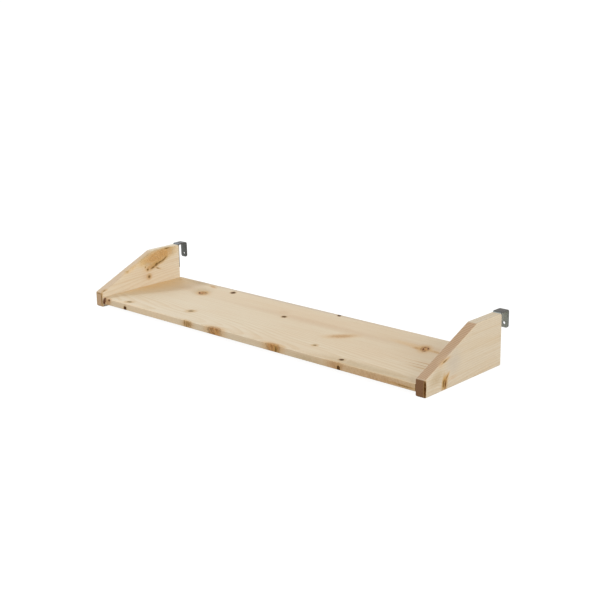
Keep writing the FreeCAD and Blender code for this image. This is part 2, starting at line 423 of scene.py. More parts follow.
class Signal:
    """A shader socket that works like a number in an expression."""

    def __init__(self, recipe: "Recipe", socket: bpy.types.NodeSocket) -> None:
        """Wrap a socket that one of a recipe's nodes gives."""
        self.recipe = recipe
        self.socket = socket

    def __add__(self, other: "Number") -> "Signal":
        """This plus another."""
        return self.recipe.maths("ADD", self, other)

    __radd__ = __add__

    def __sub__(self, other: "Number") -> "Signal":
        """This less another."""
        return self.recipe.maths("SUBTRACT", self, other)

    def __rsub__(self, other: "Number") -> "Signal":
        """Another less this."""
        return self.recipe.maths("SUBTRACT", other, self)

    def __mul__(self, other: "Number") -> "Signal":
        """This times another."""
        return self.recipe.maths("MULTIPLY", self, other)

    def __truediv__(self, other: "Number") -> "Signal":
        """This divided by another."""
        return self.recipe.maths("DIVIDE", self, other)

    def __abs__(self) -> "Signal":
        """This without its sign."""
        return self.recipe.maths("ABSOLUTE", self)

    def root(self) -> "Signal":
        """The square root of this."""
        return self.recipe.maths("SQRT", self)

    def fraction(self) -> "Signal":
        """What is left of this over its whole part."""
        return self.recipe.maths("FRACT", self)

    def least(self, other: "Number") -> "Signal":
        """The smaller of this and another."""
        return self.recipe.maths("MINIMUM", self, other)

    def most(self, *others: "Number") -> "Signal":
        """The largest of this and others."""
        largest = self
        for other in others:
            largest = self.recipe.maths("MAXIMUM", largest, other)
        return largest

    def rise(self, low: float, high: float) -> "Signal":
        """A soft step from 0 where this is low to 1 where it is high, or the other way where low is more.

        Args:
            low: the value that gives 0.
            high: the value that gives 1.

        Returns:
            The step.
        """
        falls = low > high
        node = self.recipe.node("ShaderNodeMapRange", {"interpolation_type": "SMOOTHSTEP"}, {
            "Value": self, "From Min": min(low, high), "From Max": max(low, high),
            "To Min": 1.0 if falls else 0.0, "To Max": 0.0 if falls else 1.0})
        return Signal(self.recipe, node.outputs["Result"])


Number = Union[Signal, float]
Feed = Union[Signal, bpy.types.NodeSocket, float, Sequence[float]]


@dataclass(frozen=True)
class Figure:
    """A noise drawn out, or pressed together, along the first of three coordinates.

    It has so many lumps in a metre along the first of them, and so many along the others.
    """

    first: float
    others: float
    detail: float = 2.0
    roughness: float = 0.5


class Recipe:
    """The node tree of a material or of the world while it is laid out."""

    def __init__(self, tree: bpy.types.NodeTree) -> None:
        """Start with an empty tree."""
        self.tree = tree
        tree.nodes.clear()

    @staticmethod
    def for_material(name: str) -> tuple[bpy.types.Material, "Recipe"]:
        """A new material with its recipe.

        Args:
            name: the material's name.

        Returns:
            The material and the recipe of its tree.
        """
        material = bpy.data.materials.new(name)
        material.use_nodes = True
        return material, Recipe(material.node_tree)

    def node(self, kind: str, settings: Optional[Mapping[str, object]] = None,
             feeds: Optional[Mapping[Union[str, int], Feed]] = None) -> bpy.types.Node:
        """Add a node.

        Args:
            kind: the node's type.
            settings: its own settings, and "stops" for a ramp, as (position, colour) pairs.
            feeds: what each of its sockets gets, by the socket's name or number.

        Returns:
            The node.
        """
        made = self.tree.nodes.new(kind)
        for word, value in (settings or {}).items():
            if word != "stops":
                setattr(made, word, value)
                continue
            elements = made.color_ramp.elements
            while len(elements) < len(value):
                elements.new(1.0)
            for element, (position, colour) in zip(elements, value):
                element.position = position
                element.color = (*colour, 1.0)
        for word, feed in (feeds or {}).items():
            socket = made.inputs[word]
            if isinstance(feed, Signal):
                self.tree.links.new(feed.socket, socket)
            elif isinstance(feed, bpy.types.NodeSocket):
                self.tree.links.new(feed, socket)
            elif socket.type == "RGBA":
                socket.default_value = (*feed, 1.0)
            else:
                socket.default_value = feed
        return made

    def maths(self, operation: str, *values: Number) -> Signal:
        """A Math node on one or two values."""
        made = self.node("ShaderNodeMath", {"operation": operation}, dict(enumerate(values)))
        return Signal(self, made.outputs["Value"])

    def place(self) -> bpy.types.NodeSocket:
        """The shaded point's place in the object's own coordinates, which are the frame's."""
        return self.node("ShaderNodeTexCoord").outputs["Object"]

    def leans(self) -> list[Signal]:
        """How squarely the surface faces along X, Y and Z, either way, from 0 to 1."""
        return [abs(part) for part in self.parts(self.node("ShaderNodeTexCoord").outputs["Normal"])]

    def parts(self, vector: bpy.types.NodeSocket) -> list[Signal]:
        """The three numbers of a vector."""
        made = self.node("ShaderNodeSeparateXYZ", feeds={"Vector": vector})
        return [Signal(self, made.outputs[letter]) for letter in "XYZ"]

    def vector(self, x: Number, y: Number, z: Number) -> bpy.types.NodeSocket:
        """A vector of three numbers."""
        return self.node("ShaderNodeCombineXYZ", feeds={"X": x, "Y": y, "Z": z}).outputs["Vector"]

    def noise(self, vector: bpy.types.NodeSocket, scale: float, detail: float = 2.0,
              roughness: float = 0.5) -> Signal:
        """Noise from 0 to 1.

        Args:
            vector: the coordinates that it reads.
            scale: how many lumps it has in a unit of them.
            detail: how many finer layers it has.
            roughness: how strong the finer layers are.

        Returns:
            The noise.
        """
        made = self.node("ShaderNodeTexNoise", {"noise_dimensions": "3D"}, {
            "Vector": vector, "Scale": scale, "Detail": detail, "Roughness": roughness})
        return Signal(self, made.outputs["Fac"])

    def drawn_noise(self, point: Sequence[Signal], figure: Figure) -> Signal:
        """Noise of a given figure, from 0 to 1.

        Args:
            point: the three coordinates.
            figure: how it is drawn out.

        Returns:
            The noise.
        """
        stretched = self.vector(point[0] * figure.first, point[1] * figure.others, point[2] * figure.others)
        return self.noise(stretched, 1.0, figure.detail, figure.roughness)

    def blend(self, share: Number, first: Feed, second: Feed) -> bpy.types.NodeSocket:
        """A colour between two others.

        Args:
            share: how much of the second.
            first: the colour where share is 0.
            second: the colour where share is 1.

        Returns:
            The mixed colour's socket.
        """
        made = self.node("ShaderNodeMix", {"data_type": "RGBA", "clamp_factor": True}, {
            0: share, 6: first, 7: second})
        return made.outputs[2]

    def close(self, colour: bpy.types.NodeSocket, roughness: Number, height: Signal, relief: float,
              **constants: float) -> None:
        """End a material with its shader.

        Args:
            colour: the surface's colour.
            roughness: its roughness.
            height: its fine relief, as a share.
            relief: the depth of that relief in metres.
            **constants: further shader settings that are the same all over, with _ for each space.
        """
        bump = self.node("ShaderNodeBump", feeds={"Strength": 1.0, "Distance": relief, "Height": height})
        named = {word.replace("_", " "): value for word, value in constants.items()}
        shader = self.node("ShaderNodeBsdfPrincipled", feeds={
            "Base Color": colour, "Roughness": roughness, "Normal": bump.outputs["Normal"], **named})
        self.node("ShaderNodeOutputMaterial", feeds={"Surface": shader.outputs["BSDF"]})


class GrainPoint(NamedTuple):
    """The shaded point's place along the grain, across the board's face and through the board."""

    along: Signal
    across: Signal
    through: Signal


class Grain(Enum):
    """The way a board's grain runs: the axes along it, across its face and through it."""

    ALONG_SHELF = (Axis.X, Axis.Y, Axis.Z)
    FRONT_TO_BACK = (Axis.Y, Axis.Z, Axis.X)

    @property
    def along(self) -> Axis:
        """The axis that the fibres follow."""
        return self.value[0]

    @property
    def through(self) -> Axis:
        """The axis through the board's thickness."""
        return self.value[2]

    def point(self, parts: Sequence[Signal]) -> GrainPoint:
        """A place's three coordinates, sorted by the grain."""
        return GrainPoint(*(parts[axis.value] for axis in self.value))


@dataclass(frozen=True)
class MarkLook:
    """How one kind of mark shows in the wood.

    The lengths soft_from, soft_to and halo_to count in radii of the mark, from its middle outwards.
    """

    heart: Colour
    ring: Colour
    halo: Colour
    strength: float
    halo_strength: float = 0.1
    soft_from: float = 0.2
    soft_to: float = 1.3
    halo_to: float = 1.5
    bends_grain: float = 0.0
    rim: Optional[Colour] = None
    rim_strength: float = 0.0


class Mark(Enum):
    """The kinds of knots and stains in the pine, and of painted light and shade on it, the ones that lie
    lowest first.
    """

    # Painted light: lightens the board's front-left face and draws a highlight along its front-left top edge.
    PALE = MarkLook(srgb(238, 216, 186), srgb(234, 210, 176), srgb(232, 210, 178), 0.85)
    # A darker tone of the wood; at the back of the board beside the left panel it is painted shade.
    DUSKY = MarkLook(srgb(190, 168, 132), srgb(182, 158, 120), srgb(206, 184, 150), 0.5)
    COOL = MarkLook(srgb(200, 192, 182), srgb(196, 186, 174), srgb(208, 198, 182), 0.5)
    # An amber tone of the wood; on the board beside the left panel it is a painted shade, warmer and darker.
    AMBER = MarkLook(srgb(236, 198, 134), srgb(226, 180, 112), srgb(234, 204, 154), 0.42,
                     halo_strength=0.2, soft_from=0.3, soft_to=1.25, halo_to=1.6)
    # Painted shade: greyer and darker along the board's back edge.
    GREYED = MarkLook(srgb(200, 184, 168), srgb(188, 170, 152), srgb(212, 198, 180), 0.6,
                      halo_strength=0.3, soft_from=0.4, soft_to=1.2, halo_to=1.6)
    TINGE = MarkLook(srgb(212, 182, 150), srgb(202, 166, 130), srgb(218, 192, 162), 0.3,
                     halo_strength=0.2, soft_from=0.3, soft_to=1.25, halo_to=1.6)
    BLUSH = MarkLook(srgb(202, 160, 114), srgb(184, 138, 92), srgb(218, 184, 138), 0.75,
                     halo_strength=0.4, soft_from=0.35, soft_to=1.2, halo_to=1.8, bends_grain=0.4)
    HEARTWOOD = MarkLook(srgb(208, 162, 100), srgb(176, 128, 70), srgb(216, 186, 130), 0.8,
                         halo_strength=0.5, soft_from=0.5, soft_to=1.15, halo_to=1.6, bends_grain=0.5,
                         rim=srgb(140, 104, 60), rim_strength=0.2)
    LIVE_KNOT = MarkLook(srgb(204, 150, 88), srgb(128, 80, 38), srgb(214, 172, 116), 0.85,
                         halo_strength=0.6, soft_from=0.6, soft_to=1.2, halo_to=2.4, bends_grain=1.0,
                         rim=srgb(96, 62, 30), rim_strength=0.35)
    STREAK = MarkLook(srgb(124, 94, 50), srgb(84, 60, 28), srgb(200, 160, 98), 0.85,
                      halo_strength=0.55, soft_from=0.4, soft_to=1.15, halo_to=2.6)
    RUST = MarkLook(srgb(100, 50, 6), srgb(74, 34, 1), srgb(206, 158, 112), 1.0,
                    halo_strength=0.4, soft_from=0.5, soft_to=1.15, halo_to=2.2)
    DEAD_KNOT = MarkLook(srgb(92, 55, 15), srgb(64, 36, 7), srgb(194, 156, 98), 1.0,
                         halo_strength=0.55, soft_from=0.88, soft_to=1.08, halo_to=2.1, bends_grain=1.0,
                         rim=srgb(70, 42, 12), rim_strength=0.6)


@dataclass(frozen=True)
class Knot:
    """One knot, discoloured patch or patch of painted light or shade: an ellipsoid in the wood, in
    millimetres, turned in degrees about the thickness.
    """

    place: Place
    radii: Place
    turn: float = 0.0

    @staticmethod
    def upright(x: float, y: float, length: float, width: float, turn: float = 0.0) -> "Knot":
        """A knot that stands upright in the board and shows on its top and its underside."""
        return Knot((x, y, 12), (length, width, 40), turn)


@dataclass(frozen=True)
class Pine:
    """Pale knotty pine under a thin clear oil, solid through: rings, fibres, knots and end grain. Its rounded
    edges are lightened, partly as wear and partly as a painted highlight.

    The pith is a line along the grain, given by its place across and through the board in millimetres.
    Each of the seams says where a glued stave starts, in millimetres across the board, and its tone.
    """

    name: str
    grain: Grain
    pith: tuple[float, float]
    knots: Mapping[Mark, Sequence[Knot]]
    end_tone: Colour
    slope_tone: Colour = srgb(196, 162, 126)
    slope_line: Colour = srgb(160, 118, 82)
    seams: tuple[tuple[float, float], ...] = ()
    glued_width: float = 229 * MM
    stave_shift: tuple[float, float] = (110 * MM, 40 * MM)
    cloud: Figure = Figure(5.0, 22.0, 3.0)
    streaks: Figure = Figure(4.0, 240.0)
    fibres: Figure = Figure(45.0, 1500.0, 2.0, 0.6)
    ducts: Figure = Figure(70.0, 2600.0, 0.0)
    wander: Figure = Figure(2.2, 9.0)
    drift: float = 22 * MM
    taper: float = 0.035
    ring_width: float = 3.4 * MM
    rings_pushed: float = 1.7
    raggedness: float = 0.75
    early: Colour = srgb(231, 216, 192)
    late: Colour = srgb(212, 184, 143)
    warm: Colour = srgb(226, 202, 172)
    duct: Colour = srgb(160, 118, 78)
    end_ring: Colour = srgb(120, 84, 56)
    wear_and_highlight: Colour = srgb(242, 230, 206)

    def material(self) -> bpy.types.Material:
        """Lay out the wood.

        Returns:
            The material.
        """
        material, recipe = Recipe.for_material(self.name)
        place = recipe.place()
        point = self.grain.point(recipe.parts(place))
        distances = {kind.value: self.distance(recipe, place, self.knots[kind])
                     for kind in Mark if kind in self.knots}
        stave = self.stave(recipe, point.across)
        late = self.rings(recipe, point, stave, self.push(distances))
        relief = self.rings(recipe, point, stave, None)
        cloud = recipe.drawn_noise(point, self.cloud)
        fibres = recipe.drawn_noise(point, self.fibres)
        colour = self.clear_wood(recipe, point, stave, late, cloud, fibres)
        colour = self.end_grain(recipe, colour, late)
        ragged = recipe.noise(place, scale=330.0, detail=3.0, roughness=0.6) - 0.5
        for look, distance in distances.items():
            outline = distance + ragged * self.raggedness
            colour = self.mark(recipe, look, outline, place, point, colour)
        roughness = 0.5 + (cloud - 0.5) * 0.12 + fibres * 0.1 - relief * 0.06
        recipe.close(colour, roughness, fibres * 0.35 + relief * 0.45, 0.12 * MM, Specular_IOR_Level=0.04)
        return material

    def distance(self, recipe: Recipe, place: bpy.types.NodeSocket, knots: Sequence[Knot]) -> Signal:
        """Distance from the nearest of some marks, in its own radii.

        Args:
            recipe: the material's recipe.
            place: the shaded point.
            knots: the marks, one or more.

        Returns:
            The distance.
        """
        nearest = None
        for knot in knots:
            turned = self.grain.through.vector * math.radians(knot.turn)
            mapping = recipe.node("ShaderNodeMapping", {"vector_type": "TEXTURE"}, {
                "Vector": place, "Location": in_mm(*knot.place), "Rotation": turned,
                "Scale": in_mm(*knot.radii)})
            length = recipe.node("ShaderNodeVectorMath", {"operation": "LENGTH"}, {
                0: mapping.outputs["Vector"]})
            distance = Signal(recipe, length.outputs["Value"])
            nearest = distance if nearest is None else nearest.least(distance)
        return nearest

    def push(self, distances: Mapping[MarkLook, Signal]) -> Optional[Signal]:
        """How strongly the knots bend the rings here.

        Args:
            distances: the distance from each kind of mark.

        Returns:
            The push, or None where no mark bends the grain.
        """
        bends = [distance.rise(3.4, 0.6) * look.bends_grain
                 for look, distance in distances.items() if look.bends_grain]
        return bends[0].most(*bends[1:]) if bends else None

    def stave(self, recipe: Recipe, across: Signal) -> Optional[Signal]:
        """The tone of each glued stave, from 0 to 1.

        Args:
            recipe: the material's recipe.
            across: the place across the board.

        Returns:
            The tone, or None for a piece without seams.
        """
        if not self.seams:
            return None
        front = self.seams[0][0] * MM
        stops = [((seam * MM - front) / self.glued_width, (tone, tone, tone)) for seam, tone in self.seams]
        share = (across - front) / self.glued_width
        ramp = recipe.node("ShaderNodeValToRGB", {"stops": stops}, {"Fac": share})
        ramp.color_ramp.interpolation = "CONSTANT"
        return recipe.parts(ramp.outputs["Color"])[0]

    def rings(self, recipe: Recipe, point: GrainPoint, stave: Optional[Signal],
              push: Optional[Signal]) -> Signal:
        """Growth rings about a pith line that runs with the grain.

        Args:
            recipe: the material's recipe.
            point: the shaded point.
            stave: the stave's tone, which also moves its pith.
            push: how far a knot bends the rings here, or None to leave the knots out.

        Returns:
            How much late wood there is.
        """
        beside = point.across - self.pith[0] * MM
        below = point.through - self.pith[1] * MM
        if stave is not None:
            beside = beside + (stave - 0.5) * self.stave_shift[0]
            below = below + stave * self.stave_shift[1]
        below = below + point.along * self.taper
        wander = (recipe.drawn_noise(point, self.wander) - 0.5) * self.drift
        rings = ((beside * beside + below * below).root() + wander) / self.ring_width
        if push is not None:
            rings = rings + push * self.rings_pushed
        phase = rings.fraction()
        return phase.rise(0.3, 0.9) * phase.rise(1.0, 0.93)

    def clear_wood(self, recipe: Recipe, point: GrainPoint, stave: Optional[Signal], late: Signal,
                   cloud: Signal, fibres: Signal) -> bpy.types.NodeSocket:
        """The colour of the wood between its knots.

        Args:
            recipe: the material's recipe.
            point: the shaded point.
            stave: the stave's tone, or None for a piece without seams.
            late: how much late wood there is.
            cloud: broad changes of tone.
            fibres: the fine fibres.

        Returns:
            The colour's socket.
        """
        streaks = recipe.drawn_noise(point, self.streaks)
        ducts = recipe.drawn_noise(point, self.ducts)
        colour = recipe.blend(late * (cloud * 0.6 + 0.06), self.early, self.late)
        colour = recipe.blend(streaks.rise(0.5, 0.78) * 0.4, colour, self.late)
        colour = recipe.blend(cloud.rise(0.42, 0.72) * 0.45, colour, self.warm)
        if stave is not None:
            colour = recipe.blend(stave * 0.4, colour, self.warm)
        colour = recipe.blend(fibres.rise(0.45, 0.85) * 0.28, colour, self.late)
        return recipe.blend(ducts.rise(0.79, 0.86) * 0.45, colour, self.duct)

    def end_grain(self, recipe: Recipe, colour: bpy.types.NodeSocket, late: Signal) -> bpy.types.NodeSocket:
        """Darken the faces that cut the fibres, and lighten the rounded edges, partly as wear and partly as a
        painted highlight.

        Args:
            recipe: the material's recipe.
            colour: the wood's colour so far.
            late: how much late wood there is.

        Returns:
            The colour's socket.
        """
        leans = recipe.leans()
        cut = leans[self.grain.along.value]
        darker = recipe.blend(late * 0.5, self.end_tone, self.end_ring)
        sawn = recipe.blend(late * 0.7, self.slope_tone, self.slope_line)
        colour = recipe.blend(cut.rise(0.2, 0.4) * 0.75, colour, sawn)
        colour = recipe.blend(cut.rise(0.55, 0.95) * 0.85, colour, darker)
        # Partly wear, partly a painted highlight: the rounded edges are lightened.
        edge = 1.0 - leans[0].most(*leans[1:])
        return recipe.blend(edge.rise(0.12, 0.26) * 0.4, colour, self.wear_and_highlight)

    def mark(self, recipe: Recipe, look: MarkLook, outline: Signal, place: bpy.types.NodeSocket,
             point: GrainPoint, colour: bpy.types.NodeSocket) -> bpy.types.NodeSocket:
        """Lay one kind of knot, discoloured patch, or painted light or shade over the wood.

        Args:
            recipe: the material's recipe.
            look: how the mark shows.
            outline: the distance from it, in its own radii, with a ragged edge.
            place: the shaded point.
            point: the same, sorted by the grain.
            colour: the wood's colour so far.

        Returns:
            The colour's socket.
        """
        colour = recipe.blend(outline.rise(look.halo_to, 0.9) * look.halo_strength, colour, look.halo)
        inside = outline.rise(look.soft_to, look.soft_from)
        mottle = recipe.noise(place, scale=170.0, detail=3.0, roughness=0.65)
        strokes = recipe.vector(point.along * 330.0 + point.through * 170.0, point.across * 330.0,
                                point.through * 70.0)
        growth = recipe.noise(strokes, scale=1.0, roughness=0.6).rise(0.42, 0.6)
        centre = recipe.blend(growth * 0.8, look.heart, look.ring)
        colour = recipe.blend(inside * (mottle * 1.1 + 0.4) * look.strength, colour, centre)
        if look.rim:
            broken = recipe.noise(place, scale=90.0, detail=1.0).rise(0.36, 0.58)
            rim = outline.rise(0.72, 0.98) * outline.rise(1.3, 1.02) * (broken * 0.75 + 0.25)
            colour = recipe.blend(rim * look.rim_strength, colour, look.rim)
        return colour


@dataclass(frozen=True)
class PlatedSteel:
    """Zinc-plated steel, dull grey with a faint spangle, scratches and rubbed edges. Its upward faces darken
    in patches, partly as tarnish and partly as a painted dark reflection, and its faces along the shelf can
    take a painted shade.
    """

    name: str
    tone: Colour
    deep: Colour
    rubbed: Colour = srgb(196, 198, 196)
    # The darker tone used for tarnish, for the painted dark reflection and for the painted shade.
    stained: Colour = srgb(66, 58, 52)
    stain: float = 0.0
    rub: float = 0.6
    edge_shade: float = 0.0
    roughness: float = 0.42
    spangle: float = 420.0
    scratches: Figure = Figure(5200.0, 160.0)
    patches: Figure = Figure(700.0, 120.0, 3.0)

    def material(self) -> bpy.types.Material:
        """Lay out the plating.

        Returns:
            The material.
        """
        material, recipe = Recipe.for_material(self.name)
        place = recipe.place()
        cells = recipe.node("ShaderNodeTexVoronoi", {"feature": "F1"}, {
            "Vector": place, "Scale": self.spangle})
        crystal = recipe.parts(cells.outputs["Color"])[0]
        bloom = recipe.noise(place, scale=120.0, detail=3.0, roughness=0.6)
        point = recipe.parts(place)
        scratches = recipe.drawn_noise(point, self.scratches)
        colour = recipe.blend(bloom * 0.8 + crystal * 0.2, self.deep, self.tone)
        colour = recipe.blend(scratches.rise(0.55, 0.8) * 0.25, colour, self.rubbed)
        leans = recipe.leans()
        edge = 1.0 - leans[0].most(*leans[1:])
        colour = recipe.blend(edge.rise(0.1, 0.25) * bloom * self.rub, colour, self.rubbed)
        # Painted shade: the faces that look along the shelf are darkened.
        if self.edge_shade:
            colour = recipe.blend(leans[0].rise(0.5, 0.9) * self.edge_shade, colour, self.stained)
        # Partly tarnish, partly a painted dark reflection: the upward faces are darkened in patches.
        if self.stain:
            patches = recipe.drawn_noise(point, self.patches) * 0.8 + 0.55
            colour = recipe.blend(leans[2].rise(0.35, 0.9) * patches * self.stain, colour, self.stained)
        roughness = self.roughness + (bloom - 0.5) * 0.25 + scratches * 0.08
        recipe.close(colour, roughness, scratches * 0.4 + bloom * 0.6, 0.02 * MM, Metallic=0.9)
        return material


@dataclass(frozen=True)
class CastZinc:
    """Die-cast zinc, a little grainy, with a soft skin and darker pores."""

    name: str
    tone: Colour = srgb(158, 160, 162)
    pore: Colour = srgb(96, 98, 102)
    bright: Colour = srgb(186, 188, 190)

    def material(self) -> bpy.types.Material:
        """Lay out the casting.

        Returns:
            The material.
        """
        material, recipe = Recipe.for_material(self.name)
        place = recipe.place()
        skin = recipe.noise(place, scale=900.0, detail=4.0, roughness=0.65)
        pores = recipe.noise(place, scale=2600.0, detail=1.0).rise(0.66, 0.8)
        colour = recipe.blend(pores * 0.6, self.tone, self.pore)
        colour = recipe.blend(skin.rise(0.45, 0.7) * 0.3, colour, self.bright)
        recipe.close(colour, 0.38 + skin * 0.25, skin * 0.6 - pores * 0.4, 0.02 * MM, Metallic=0.95)
        return material


@dataclass(frozen=True)
class TurnedBeech:
    """Steamed beech of a dowel, pinkish, with short dark flecks along it."""

    name: str
    pale: Colour = srgb(214, 176, 136)
    dark: Colour = srgb(184, 140, 102)
    fleck: Colour = srgb(140, 96, 66)
    bands: Figure = Figure(30.0, 700.0, 3.0)
    flecks: Figure = Figure(500.0, 4000.0, 1.0)

    def material(self) -> bpy.types.Material:
        """Lay out the beech.

        Returns:
            The material.
        """
        material, recipe = Recipe.for_material(self.name)
        point = recipe.parts(recipe.place())
        bands = recipe.drawn_noise(point, self.bands)
        flecks = recipe.drawn_noise(point, self.flecks)
        colour = recipe.blend(bands.rise(0.35, 0.7), self.pale, self.dark)
        colour = recipe.blend(flecks.rise(0.62, 0.75) * 0.6, colour, self.fleck)
        colour = recipe.blend(recipe.leans()[0].rise(0.6, 0.95) * 0.5, colour, self.fleck)
        recipe.close(colour, 0.6 + bands * 0.15, bands * 0.6 + flecks * 0.4, 0.05 * MM,
                     Specular_IOR_Level=0.35)
        return material


def install(piece: bpy.types.Object, material: bpy.types.Material, node: str) -> None:
    """Give a finished piece its finish and its place in the frame, and report it.

    Args:
        piece: the finished object.
        material: its finish.
        node: the node that it stands for.
    """
    piece.data.materials.clear()
    piece.data.materials.append(material)
    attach(piece, BODY)
    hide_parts(node)
    LOG.info("%s stands for %s, %.0f x %.0f x %.0f mm, %d faces", piece.name, node,
             *(Box.of(node).size / MM), len(piece.data.polygons))


@dataclass
class ShelfBoard:
    """The board between the panels, with eased long edges and its holes."""

    node: str = "shelf_board"
    edge_radius: float = 1.5 * MM
    cam_bore_radius: float = 6 * MM
    cam_bore_rise: float = 5.8 * MM
    cam_drill_drop: float = 8 * MM
    bolt_bore_radius: float = 2.25 * MM
    dowel_bore_radius: float = 3.05 * MM
    room: float = 0.3 * MM
    drill_start: float = 450 * MM

    def build(self) -> None:
        """Model the board, drill it and dress it."""
        box = Box.of(self.node)
        board = BENCH.block("pine_board", box.low, box.high)
        BENCH.round_edges(board, Axis.X.runs, self.edge_radius, segments=5)
        for side in Side:
            for place in FRONT_AND_BACK:
                BENCH.cut(board, self.drills(side, place))
        BENCH.smooth(board)
        install(board, self.finish().material(), self.node)

    def drills(self, side: Side, place: str) -> list[bpy.types.Object]:
        """What is drilled for one cam lock, its bolt and the dowel next to it.

        Args:
            side: the end of the board.
            place: the front or back pair.

        Returns:
            The drills.
        """
        cam = Box.of(f"cam_lock_{side.word}_{place}").middle
        up = Axis.Z.vector
        drills = [BENCH.rod("drill", cam - up * self.cam_drill_drop, cam + up * self.cam_bore_rise,
                            self.cam_bore_radius, sides=48)]
        for word, radius in (("cam_bolt", self.bolt_bore_radius), ("dowel", self.dowel_bore_radius)):
            inner = side.inner_end(Box.of(f"{word}_{side.word}_{place}")) - side.outward * self.room
            outer = Vector((side.value * self.drill_start, inner.y, inner.z))
            drills.append(BENCH.rod("drill", inner, outer, radius, ROUND_SIDES))
        return drills

    def finish(self) -> Pine:
        """The board's pine, with its knots where the photograph shows them. A few marks are painted light and
        shade: a lighter front-left face with a highlight along its top edge, and shade beside the left panel
        and along the back edge.

        Returns:
            The pine.
        """
        knots = {
            # Painted light: a lighter front-left face, a highlight along the front-left top edge and a bright
            # spot on the top.
            Mark.PALE: (
                Knot((-265, -127, 14), (120, 5, 18)),
                Knot((-350, -124, 22), (85, 6, 5)),
                Knot((-366, -119, 22), (11, 4.5, 6), 29),
            ),
            Mark.DUSKY: (
                Knot((325, -114, 22), (135, 16, 10)),
                # Darkens the board's front at its right end, against the right panel.
                Knot((418, -127, 14), (18, 5, 12)),
                Knot((185, -128, 12), (50, 4, 8)),
                Knot((-296, 47, 22), (34, 24, 12), -38),
                # Painted shade: darkens the back of the board beside the left panel, inside that panel's
                # shadow.
                Knot((-360, 94, 22), (75, 13, 10)),
            ),
            Mark.AMBER: (
                # Painted shade: warms and darkens the board beside the left panel, where that panel's shadow
                # falls.
                Knot((-430, 20, 22), (58, 98, 16), -6),
                Knot((300, 38, 22), (52, 9, 14), -3),
            ),
            Mark.GREYED: (
                # Painted shade along the board's back edge.
                Knot((-80, 105, 22), (330, 11, 12)),
            ),
            Mark.TINGE: (
                Knot.upright(-40, 38, 17, 14, -46),
                Knot((330, 38, 22), (110, 18, 16)),
                Knot((80, 28, 22), (240, 14, 16)),
            ),
            Mark.BLUSH: (
                Knot.upright(157.5, -3.5, 29, 12.5, 45),
                Knot.upright(-304, 88, 14, 5, -20),
                Knot((-408, -126, 15.5), (10, 8, 9)),
                Knot((-150, -127, 16), (17, 4.5, 10)),
                Knot((250, -127, 15), (27, 5.5, 11)),
                # Darkens and warms the board's front toward its right end.
                Knot((345, -129, 13), (110, 5, 14)),
                Knot((385, -127, 14), (46, 4, 2.2)),
                Knot((315, 30, 22), (13, 6.5, 12), -3),
                Knot((366, 32, 22), (26, 5, 12), -4),
                Knot((396, -30, 22), (46, 2.0, 12)),
                Knot((380, -43, 22), (34, 1.3, 12)),
                Knot((398, -55, 22), (36, 1.6, 12)),
            ),
            Mark.LIVE_KNOT: (
                Knot.upright(-283, 38, 13, 9.5, -38),
                Knot.upright(327, 35, 15, 8, -62),
                Knot((-70, -126, 17), (18, 8, 13)),
                Knot((92, -126, 17), (17, 6.5, 14)),
            ),
            Mark.STREAK: (
                Knot.upright(-353.5, -110.5, 7.2, 5.4, 20),
                Knot.upright(-198, -73, 7.4, 6.2, 30),
                Knot.upright(-281.7, 44.6, 4.4, 2.4, -73),
                Knot.upright(155, -78, 4.6, 4),
                Knot((-159, -127, 17), (1.3, 4, 8)),
                Knot((-153.5, -127, 14), (1.4, 4, 9)),
                Knot((-148, -127, 16), (1.4, 4, 9)),
                Knot((-142, -127, 15), (1.2, 4, 7)),
                Knot((99, -127, 11), (3.0, 5, 10)),
                Knot((404, -127, 12.5), (22, 3, 0.9)),
            ),
            Mark.RUST: (
                Knot.upright(-289.4, 34.1, 8.5, 2.5, -41),
                Knot.upright(-279.7, 30.3, 5.5, 2.3, 52),
                Knot.upright(325.4, 32.2, 9.4, 1.9, -58),
                Knot.upright(321.1, 43.2, 3.4, 1.9, 78),
                Knot.upright(330.6, 40.6, 7.2, 1.7, -61),
                Knot.upright(333.8, 25.1, 3.0, 2.2, 48),
                Knot((-418.6, -127, 19), (4.8, 6, 7)),
                Knot((-422.4, -127, 12), (5.2, 6, 8)),
                Knot((-403.8, -127, 20), (3.6, 4, 3.2)),
            ),
            Mark.DEAD_KNOT: (
                Knot.upright(-233, 82, 7.6, 5.4, -52),
                Knot.upright(-19, 20, 5.5, 4.9, -36),
                Knot.upright(63, 97, 5.5, 3.6, -40),
                Knot.upright(249, -109.5, 4.7, 4.4),
                Knot((-350, -127, 12), (4.2, 4, 4.8)),
                Knot((256, -127, 11.5), (3.7, 3, 4.8)),
            ),
        }
        return Pine("knotty_pine_board", Grain.ALONG_SHELF, (-150.0, -60.0), knots,
                    end_tone=srgb(186, 146, 106),
                    seams=((-126, 0.15), (-84, 0.0), (-29, 0.3), (30, 0.85), (78, 0.6)))


